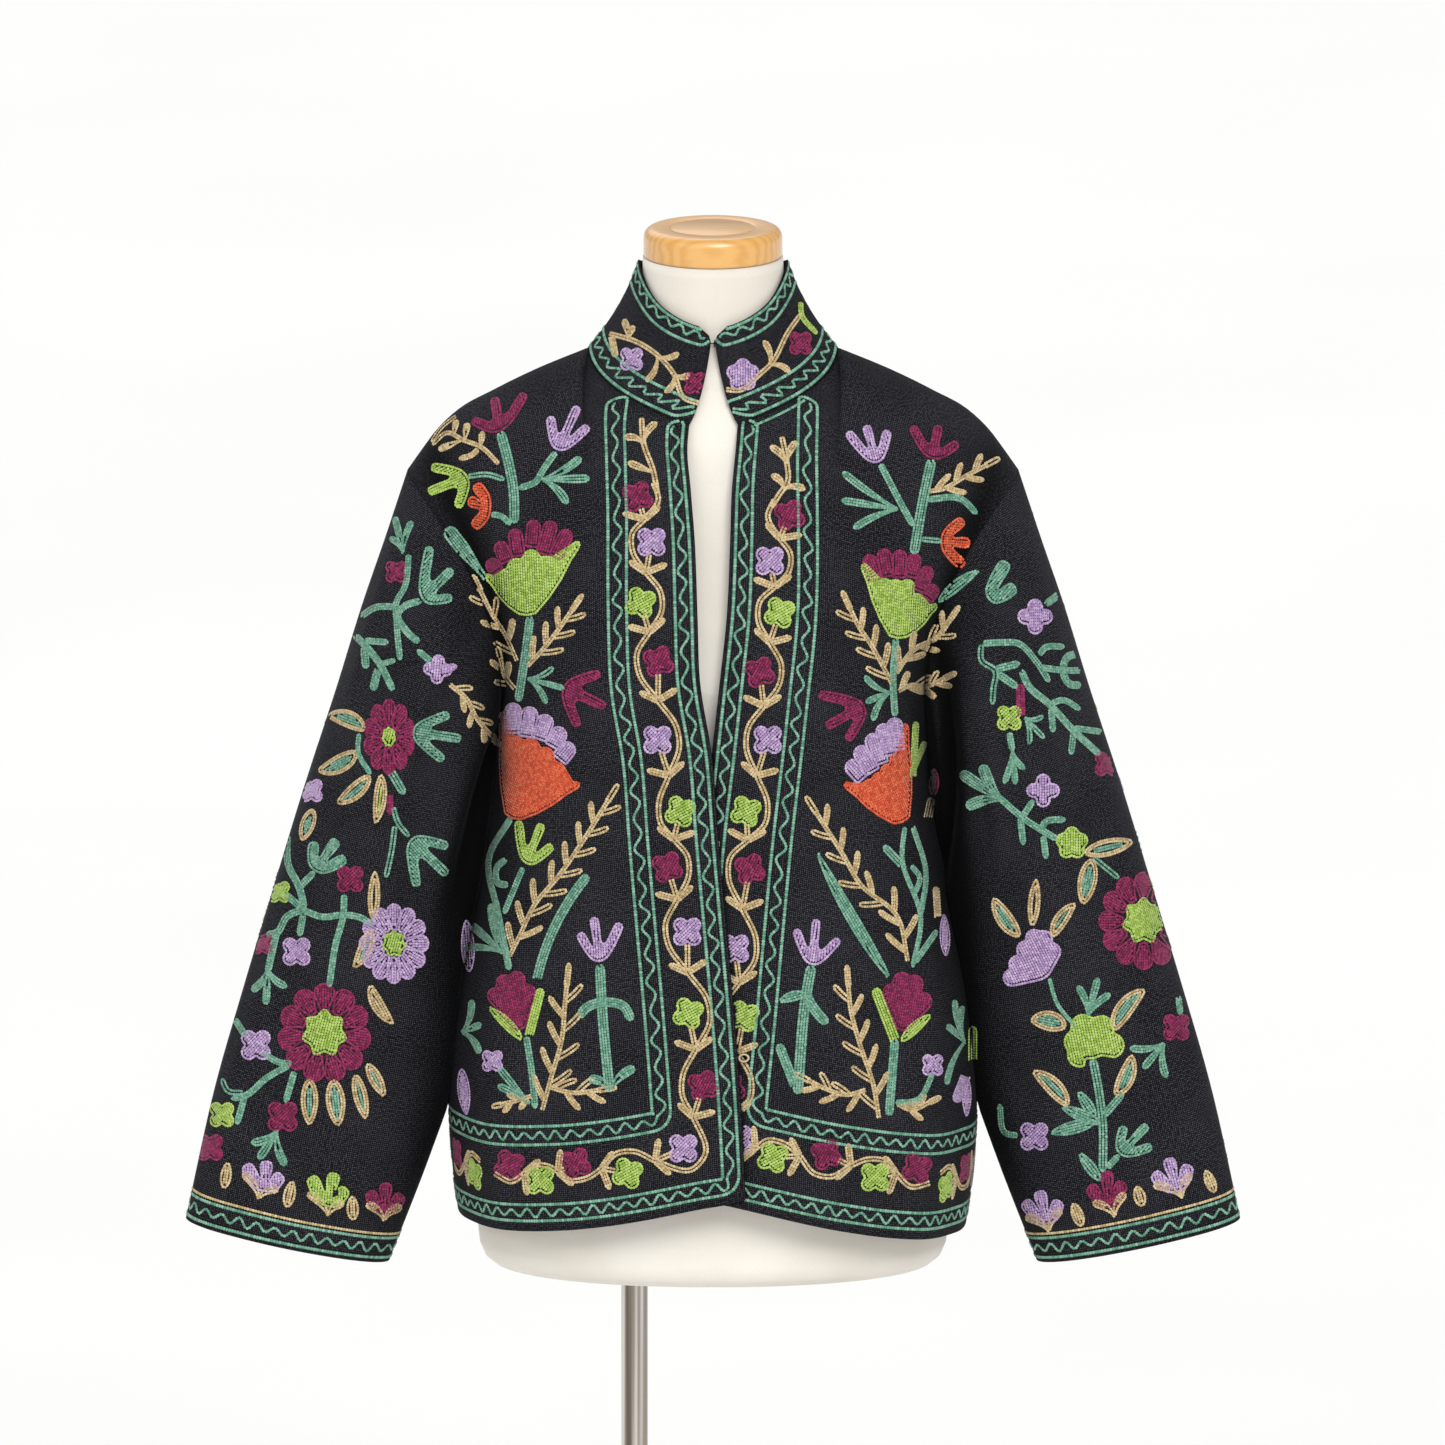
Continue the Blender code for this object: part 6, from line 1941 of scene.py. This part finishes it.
    def blossom(self, colour, middle, size=BLOSSOM, lobes=4, turned=BLOSSOM_TURN):
        """A small flower of round petals."""
        turns = np.linspace(0, 360, BLOSSOM_PLACES + 1)[:-1]
        off = np.radians((turns - turned + 180 / lobes) % (360 / lobes) - 180 / lobes)
        away, radius = size * PETAL_OUT, size * (PETAL_REACH - PETAL_OUT)
        reach = away * np.cos(off) + np.sqrt(radius**2 - (away * np.sin(off)) ** 2)
        self.fill(colour, [polar(middle, t, r) for t, r in zip(turns, reach)], turned)

    def daisy(self, colours, middle, size, petals, heart):
        """A round flower of long petals about a lobed heart."""
        squash = np.array([size[0] / size[1], 1.0])
        width = 2 * size[1] * math.sin(math.pi / petals) * PETAL_SHARE
        middle = np.array(middle, float)
        for number in range(petals):
            way = 360 * number / petals
            ends = [polar((0, 0), way, size[1] * heart * HEART_COVERS), polar((0, 0), way, size[1])]
            self.fill(colours[0], middle + body(ends, width, "club") * squash, way)
        turns = np.linspace(0, 360, HEART_PLACES + 1)[:-1]
        wave = np.cos(np.radians(HEART_LOBES * turns))
        reach = size[1] * heart * (HEART_MEAN + HEART_WAVE * wave)
        outline = middle + np.array([polar((0, 0), t, r) for t, r in zip(turns, reach)]) * squash
        self.fill(colours[1], outline, HEART_TURN)

    def sprig(self, leaflets, length, *places):
        """A stem with leaflets to both sides in turn, and one at its end."""
        self.line("tan", places, SPRIG_STEM)
        curve = smooth(places, 1.0)
        way = np.gradient(curve, axis=0)
        for number in range(leaflets):
            share = (number + SPRIG_START) / leaflets
            k = min(int(share * (len(curve) - 1)), len(curve) - 1)
            degrees, _ = heading((0, 0), way[k])
            side = (1 if number % 2 else -1) * SPRIG_SPREAD
            side = 0 if number + 1 == leaflets else side
            tip = polar(curve[k], degrees + side, length * (SPRIG_LONG - SPRIG_TAPER * share))
            self.line("tan", bowed(curve[k], tip, -side * SPRIG_BEND), SPRIG_LEAFLET, "finger")

    def vine(self, flowers, first=-1):
        """A winding stem that passes its flowers on alternating sides, with stalks and fingers."""
        middles = np.array([f[1:3] for f in flowers], float)
        ways = unit(np.gradient(middles, axis=0))
        path, nodes = [], []
        for number, (middle, way) in enumerate(zip(middles, ways)):
            side = square_to(way) * (-first if number % 2 else first)
            gaps = np.linalg.norm(middles - middle, axis=1)
            around = middle + side * min(VINE_BULGE, VINE_BEND * np.partition(gaps, 1)[1])
            path += [around - way * VINE_PASS, around + way * VINE_PASS]
            if number + 1 < len(middles):
                node = (middle + middles[number + 1]) / 2
                path.append(node)
                nodes.append((node, middle, side, way))
        self.line("tan", path, VINE_WIDTH)
        for node, middle, side, way in nodes:
            back, reach = heading(node, middle)
            foot = tuple(node)
            self.line("tan", [foot, polar(foot, back, reach - BLOSSOM * STALK_INTO)], VINE_WIDTH)
            turn = 1 if way[1] * side[0] > way[0] * side[1] else -1
            for degrees, length in VINE_FINGERS:
                tip = polar(foot, back + turn * degrees, length)
                self.line("tan", bowed(foot, tip, 0), FINGER_WIDTH, "finger")
        for number, (colour, *middle) in enumerate(flowers):
            self.blossom(colour, middle, turned=BLOSSOM_TURN + VINE_TURN * (number % 3 - 1))

    def sew(self, table):
        for kind, *facts in table:
            getattr(self, kind)(*facts)


def strip(needle, lay, path, half, closed=(), flare=0.0):
    """A border strip: two straight lines with a winding one between them.

    The lines meet in a round bow at the ends that are closed. A flare moves the second line
    out at the start.
    """
    path = dense(path, MM)
    way = unit(np.gradient(path, axis=0))
    for _ in range(STRIP_SMOOTHING):
        way[1:-1] = unit(way[:-2] + way[1:-1] * 2 + way[2:])
    side = square_to(way)
    run = run_along(path)
    wider = (flare * (1 - np.clip(run / FLARE_LENGTH, 0, 1)) ** FLARE_POWER)[:, None]
    turns = np.linspace(-1, 1, BOW_PLACES)[:, None] * math.pi / 2
    line = [path - side * half]
    if "start" in closed:
        start, reach = path[0] + side[0] * wider[0] / 2, half + wider[0] / 2
        bow = start + reach * np.sin(turns) * side[0] - half * 0.5 * np.cos(turns) * way[0]
        line = [line[0][::-1], bow]
    elif "end" not in closed:
        needle.row(lay, "green", line[0], STRIP_WIDTH)
        line = []
    line.append(path + side * (half + wider))
    if "end" in closed:
        line.append(path[-1] - half * np.sin(turns) * side[-1] + half * 0.5 * np.cos(turns) * way[-1])
    needle.row(lay, "green", np.concatenate(line), STRIP_WIDTH)
    period = np.where(np.abs(way[:, 1]) > np.abs(way[:, 0]), WAVE_PERIOD, LEVEL_WAVE_PERIOD)
    beat = 2 * np.pi * np.cumsum(np.gradient(run) / period) + WAVE_DRIFT * np.sin(run * WAVE_DRIFT_RATE)
    swell = 1 + WAVE_SWELL * np.sin(run * WAVE_SWELL_RATE)
    wave = (WAVE_SWING * np.sin(beat) * swell)[:, None] + wider / 2
    needle.row(lay, "green", path + side * wave, WAVE_WIDTH)


# The sewing


def corner_path(first, turning, last):
    """A path of two straight legs with its corner rounded."""
    first, turning, last = (np.array(p, float) for p in (first, turning, last))
    into, out = unit(first - turning), unit(last - turning)
    steps = np.linspace(0, 1, BOW_PLACES)[:, None]
    start, end = turning + into * CORNER_ROUND, turning + out * CORNER_ROUND
    bow = (1 - steps) ** 2 * start + 2 * steps * (1 - steps) * turning + steps**2 * end
    return np.concatenate([first[None], bow, last[None]])


def level_strip(needle, lay, up, half, start, end, closed=()):
    """A strip at one height up a cut piece, between two distances along it."""
    strip(needle, lay, np.array([(start, up), (end, up)]), half, closed)


def sew_borders(needle, panels, lays):
    """The strips along the edges, the hem, the cuffs and the collar."""
    for name in ("front_right", "front_left"):
        panel, lay = panels[name], lays[name]
        for (edge, half), (low, _), flare in (
            (EDGE_STRIP, HEM_STRIP, 0.0), (SIDE_STRIP, UPPER_HEM_STRIP, STRIP_FLARE),
        ):
            column = int(np.argmin(np.abs(panel.along[-1] - edge)))
            high = float(panel.up[-1, column]) - STRIP_TOP
            path = corner_path((edge, high), (edge, low), (panel.along[0, -1], low))
            strip(needle, lay, path, half, ("start",), flare)

    # The left front also has a line across its top, between its two strips
    neck = (panel.along[-1] > EDGE_STRIP[0]) & (panel.along[-1] < SIDE_STRIP[0])
    line = np.stack([panel.along[-1, neck], panel.up[-1, neck] - STRIP_TOP], axis=-1)
    needle.row(lay, "green", line, WAVE_WIDTH)
    for name in ("back_right", "back_left"):
        for low, half in (HEM_STRIP, UPPER_HEM_STRIP):
            level_strip(needle, lays[name], low, half, 0, panels[name].along[0, -1])
    for name in ("sleeve_right", "sleeve_left"):
        around = float(panels[name].along[-1, -1])
        level_strip(needle, lays[name], *CUFF_STRIP, 0, around)
        needle.row(lays[name], "tan", np.array([(0, CUFF_LINE), (around, CUFF_LINE)]), WAVE_WIDTH)
    panel = panels["collar"]
    for up, row, (middle, half) in (
        (panel.up, 2, COLLAR_LOW_STRIP), (panel.up[-1:] - panel.up, -3, COLLAR_TOP_STRIP),
    ):
        start, end = panel.along[row, 0] + COLLAR_END, panel.along[row, -1] - COLLAR_END
        level_strip(needle, Lay(needle.cloth, panel, up), middle, half, start, end, ("start", "end"))


def flower_row(columns, rows):
    """Flowers of each colour in turn, by columns and rows."""
    return [(COLOURS[n % len(COLOURS)], *place) for n, place in enumerate(zip(columns, rows))]


def swung(middle, swing, count):
    """Values to one side of a middle and the other in turn."""
    return [middle + swing * (-1) ** n for n in range(count)]


def level_vine(needle, lay, height, starts, swing):
    """A vine at a height up a cut piece, its flowers at distances along it."""
    columns = [MIDDLE_COLUMN + start / PIXEL for start in starts]
    flowers = flower_row(columns, swung(MIDDLE_ROW, swing, len(starts)))
    Motifs(needle, Chart(lay, height)).vine(flowers)


def sew_vines(needle, cloth, lays):
    """The vines of the fronts, of the back's middle and hem, and of the collar."""
    for name, flowers, first in (("front_right", LEFT_VINE, -1), ("front_left", RIGHT_VINE, 1)):
        Motifs(needle, Sight(cloth, 0, name)).vine(flowers, first)
    rows = range(*BACK_VINE_ROWS)
    flowers = flower_row(swung(MIDDLE_COLUMN, BACK_VINE_SWING, len(rows)), rows)
    Motifs(needle, Sight(cloth, 180)).vine(flowers)
    for name, start in HEM_VINES:
        end = float(lays[name].flat[:, 0].max()) - HEM_VINE_END
        count = int((end - start) / HEM_VINE_STEP)
        starts = [start + HEM_VINE_STEP * number for number in range(count + 1)]
        level_vine(needle, lays[name], HEM_VINE, starts, HEM_VINE_SWING)
    reach, count = COLLAR_VINE_REACH, int(2 * COLLAR_VINE_REACH / COLLAR_VINE_STEP)
    starts = [-reach + 2 * reach * number / count for number in range(count + 1)]
    level_vine(needle, lays["collar"], COLLAR_VINE_UP, starts, COLLAR_VINE_SWING)


def sew_motifs(needle, cloth):
    """The motifs of the fronts and sleeves, and their like on the back."""
    front, back = Motifs(needle, Sight(cloth, 0)), Motifs(needle, Sight(cloth, 180))
    for table in (HALF, RIGHT_HALF, SIDE_LEFT, COLLAR_FLOWERS, VINE_TOPS):
        front.sew(table)
    for flip in (1, -1):
        Motifs(needle, back.ground, flip, (flip * BACK_SHIFT, 0)).sew(HALF)
    for motifs in (front, back):
        motifs.sew(SLEEVE_LEFT)
        motifs.sew(SLEEVE_RIGHT)


# The form and its cap


def form_sections():
    """The form's sections from its flat bottom to the top of its neck."""
    sections = list(FORM)
    out = np.linspace(0, SHOULDER_HALF_WIDTH, SHOULDER_SAMPLES)
    line = read(SHOULDER, SHOULDER_COLUMNS, "height", out)
    inside = (WALL + FORM_REST_GAP) * np.sqrt(1 + np.gradient(line, out) ** 2)
    for height, *depths in FORM_SHOULDERS:
        half_width = float(np.interp(-height, -(line - inside), out))
        sections.append((height, half_width, *depths))
    return sections + list(FORM_NECK)


def add_form(material):
    """The form with a smooth cover, a seam down its middle, and a rounded lower edge."""
    sections = np.array(form_sections())
    heights = sections[:, 0]
    run = run_along(sections[:, :2])
    at = np.union1d(np.linspace(0, run[-1], FORM_RINGS), run)
    values = {name: np.interp(at, run, sections[:, k]) for k, name in enumerate(FORM_COLUMNS)}
    turn = 2 * math.pi * np.arange(FORM_SIDES) / FORM_SIDES
    cos, sin = np.cos(turn)[None, :], np.sin(turn)[None, :]
    power = 2 / values["squareness"][:, None]
    x = squared(cos, power) * values["half_width"][:, None]
    reach = np.where(sin > 0, values["back"][:, None], values["front"][:, None])
    y = squared(sin, power) * reach
    y = y * (1 - SEAM_DEPTH * np.exp(-((x / SEAM_WIDTH) ** 2)) / reach)
    z = np.broadcast_to(values["height"][:, None], x.shape)
    index = np.arange(x.size).reshape(x.shape)
    around = np.roll(index, -1, axis=1)
    faces = [split(index[:-1], around[:-1], around[1:], index[1:])]
    ends = [(0, 0, heights[0]), (0, 0, heights[-1])]
    for number, ring in enumerate((index[0][::-1], index[-1])):
        faces.append(np.stack([ring, np.roll(ring, -1), ring * 0 + x.size + number], -1))
    places = np.concatenate([np.stack([x, y, z], axis=-1).reshape(-1, 3), ends])
    return add_triangles("form_cover", places, np.concatenate(faces), material)


def add_cap(material):
    """The turned cap, with the shallow ring in its top."""
    top = FORM_NECK[-1][0] + SEAM_GAP
    turns = np.linspace(0, math.pi / 2, CAP_EDGE_STEPS)
    edge = [
        (CAP_RADIUS - CAP_EDGE + CAP_EDGE * math.sin(t), CAP_HEIGHT - CAP_EDGE + CAP_EDGE * math.cos(t))
        for t in turns
    ]
    ring = [
        (CAP_RING_RADIUS + CAP_RING_WIDTH * s,
         CAP_HEIGHT - CAP_RING_DEPTH * math.cos(s * math.pi / 2) ** 2)
        for s in np.linspace(-1, 1, CAP_RING_STEPS)
    ]
    under = [
        (CAP_RADIUS - CAP_UNDER_EDGE * (1 - math.cos(t)), CAP_UNDER_EDGE * (1 - math.sin(t)))
        for t in turns
    ]
    out, up = np.array([(CAP_MIDDLE, CAP_HEIGHT), *ring, *edge, *under, (CAP_MIDDLE, 0)]).T[..., None]
    turn = 2 * math.pi * np.arange(CAP_SIDES) / CAP_SIDES
    rings = np.stack([out * np.cos(turn), out * np.sin(turn), up + 0 * turn + top], axis=-1)
    index = np.arange(len(out) * CAP_SIDES).reshape(-1, CAP_SIDES)
    around = np.roll(index, -1, axis=1)
    faces = split(index[1:], around[1:], around[:-1], index[:-1])
    return add_triangles("turned_cap", rings.reshape(-1, 3), faces, material)


# The jacket


class Panel:
    """A cut piece: its object, the grid of its outer surface, and distances along it."""

    def __init__(self, name, made, points, faces, closed):
        self.name = name
        self.object = made
        self.closed = closed
        self.points = points
        self.outer = points[:, :-1] if closed else points
        self.faces = faces
        steps_along = np.linalg.norm(np.diff(points, axis=1), axis=-1)
        steps_up = np.linalg.norm(np.diff(points, axis=0), axis=-1)
        along = np.pad(np.cumsum(steps_along, axis=1), ((0, 0), (1, 0)))
        up = np.pad(np.cumsum(steps_up, axis=0), ((1, 0), (0, 0)))
        if name == "collar":
            along = along - along[:, along.shape[1] // 2, None]
        if closed:
            up = up[-1:] - up
        self.along, self.up = along, up


def add_cloth(material):
    """The seven cut pieces as fine walls, and the grid of each one's outer surface."""
    grids = {f"{face}_{side}": body_half(face, side) for face, side in BODY_FOLDS}
    grids |= {f"sleeve_{side}": sleeve(side) for side in SLEEVE_FOLDS}
    grids["collar"] = collar()
    outward = {name: outward_of(name, grid) for name, grid in grids.items()}
    shared = shared_normals(grids, outward)
    panels = {}
    for name, points in grids.items():
        drawn = draw_back(points, shared[name], SEAMS[name])
        closed = name.startswith("sleeve")
        normal = mitre(outward[name], shared[name])
        made, faces = wall_mesh(f"{name}_cloth", drawn, normal, FLIPS[name], closed, material)
        panels[name] = Panel(name, made, drawn, faces, closed)
        lay_metres(made, panels[name])
        lay_painted_shade(made, name, points.shape)
    return panels


def outward_of(name, points):
    """The outward directions of a grid. A sleeve's last column repeats its first."""
    if not name.startswith("sleeve"):
        return normals(points, FLIPS[name])
    wide = np.concatenate([points[:, -2:-1], points, points[:, 1:2]], axis=1)
    return normals(wide, FLIPS[name])[:, 1:-1]


def lay_metres(made, panel):
    """Texture coordinates in metres along a cut piece, on both of its faces."""
    along, up = panel.along, panel.up
    if panel.closed:
        along, up = along[:, :-1], up[:, :-1]
    flat = np.stack([along, up], axis=-1).reshape(-1, 2)
    count = len(flat)
    tree = KDTree(count)
    for k, place in enumerate(panel.outer.reshape(-1, 3)):
        tree.insert(place, k)
    tree.balance()
    rim = [flat[tree.find(point.co)[1]] for point in made.data.vertices[2 * count :]]
    places = np.concatenate([flat, flat, np.array(rim).reshape(-1, 2)])
    layer = made.data.uv_layers.new(name="cloth")
    corners = np.empty(len(made.data.loops), dtype=np.int32)
    made.data.loops.foreach_get("vertex_index", corners)
    layer.uv.foreach_set("vector", places[corners].astype(np.float32).ravel())


def lay_painted_shade(made, name, shape):
    """How much painted shade each point of a cut piece's outer face gets from the dark hollows. The rest
    has none.
    """
    face, _, side = name.partition("_")
    key = side if face == "sleeve" else (face, side)
    along, place = np.linspace(0, 1, shape[0])[:, None], np.linspace(0, 1, shape[1])[None, :]
    if face == "sleeve":
        along, place = sleeve_grid()
        place = place[:, :-1]
    depth = np.clip(fold_relief(PAINTED_SHADE_HOLLOWS.get(key, ()), along, place), 0, 1).ravel()
    set_values(made, "hollow", np.pad(depth, (0, len(made.data.vertices) - len(depth))))


# The stage


def add_stage():
    corners = FLOOR_REACH * np.array([(-1, -1, 0), (1, -1, 0), (1, 1, 0), (-1, 1, 0)])
    faces = np.array([(0, 1, 2), (0, 2, 3)])
    add_triangles("studio_floor", corners, faces, floor_material())


def sight_axes(azimuth):
    """Across, up and forward as seen at the photograph's elevation from an azimuth."""
    turn, rise = math.radians(azimuth), math.radians(ELEVATION)
    across = np.array([math.cos(turn), math.sin(turn), 0])
    level = np.array([-math.sin(turn), math.cos(turn), 0])
    forward = level * math.cos(rise) - np.array([0, 0, math.sin(rise)])
    up = level * math.sin(rise) + np.array([0, 0, math.cos(rise)])
    return across, up, forward


def add_facing(name, data, place, way):
    """An object at a place that looks or shines along a way."""
    made = bpy.data.objects.new(name, data)
    made.location = place
    made.rotation_mode = "QUATERNION"
    made.rotation_quaternion = Vector(way).to_track_quat("-Z", "Y")
    bpy.context.scene.collection.objects.link(made)
    return made


def add_camera():
    across, _, forward = sight_axes(0)
    middle = across * (FRAME / 2 - MIDDLE_COLUMN) * PIXEL
    middle[2] += SIGHT_HEIGHT / math.cos(math.radians(ELEVATION))
    data = bpy.data.cameras.new("camera")
    data.sensor_width = SENSOR
    data.lens = SENSOR * CAMERA_DISTANCE / (FRAME * PIXEL)
    data.clip_end = CAMERA_SEES
    place = middle - forward * CAMERA_DISTANCE
    bpy.context.scene.camera = add_facing("camera", data, place, forward)


def add_light(name, azimuth, elevation, spread, strength):
    """A far soft light, as wide as its spread in degrees, from an azimuth and elevation."""
    turn, rise = math.radians(azimuth), math.radians(elevation)
    out = Vector((math.sin(turn) * math.cos(rise), -math.cos(turn) * math.cos(rise), math.sin(rise)))
    data = bpy.data.lights.new(name, "SUN")
    data.angle = math.radians(spread)
    data.energy = strength
    add_facing(name, data, Vector((0, 0, LIGHT_AIM)) + out * LIGHT_DISTANCE, -out)


def add_world():
    world = bpy.data.worlds.new("studio")
    world.use_nodes = True
    background = world.node_tree.nodes["Background"]
    background.inputs["Color"].default_value = linear(WORLD_COLOUR)
    background.inputs["Strength"].default_value = WORLD_STRENGTH
    bpy.context.scene.world = world
    bpy.context.scene.view_settings.view_transform = "Standard"


add_camera()
add_world()
for light in LIGHTS:
    add_light(*light)
add_stage()

panels = add_cloth(cloth_material())
finer = [(panel.object, name, "wool_cloth") for name, panel in panels.items()]
finer.append((add_form(jersey_material()), "dress_form", "jersey"))
finer.append((add_cap(wood_material()), "neck_cap", "neck_wood"))
for piece, node, slot in finer:
    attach(piece, "root")
    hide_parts(node)

# The solids that stay, with the material of each
drawn = chrome_material("drawn_chrome", DRAWN_SCALE)
turned = chrome_material("turned_chrome", TURNED_SCALE)
lacquer = lacquer_material()
cream = thread_material("cream_thread", ("#b9a887", "#e0d2ae", "#f4ead0"))
for name, material in {
    "pole": drawn, "pole_flange": turned, "pole_foot": turned, "base_plate": turned,
    "collar_hook": lacquer, "collar_eye": lacquer, "thread_eye": cream,
}.items():
    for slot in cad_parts[name].material_slots:
        slot.material = material

cloth = Cloth(panels)
needle = Needle(cloth)
lays = {name: Lay(cloth, panel) for name, panel in panels.items()}
sew_borders(needle, panels, lays)
sew_vines(needle, cloth, lays)
sew_motifs(needle, cloth)

threads = {name: thread_material(f"{name}_wool", codes) for name, codes in THREADS.items()}
sewn = needle.pieces(threads)
for name, panel in panels.items():
    for piece in sewn.get(name, []):
        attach(piece, "root")
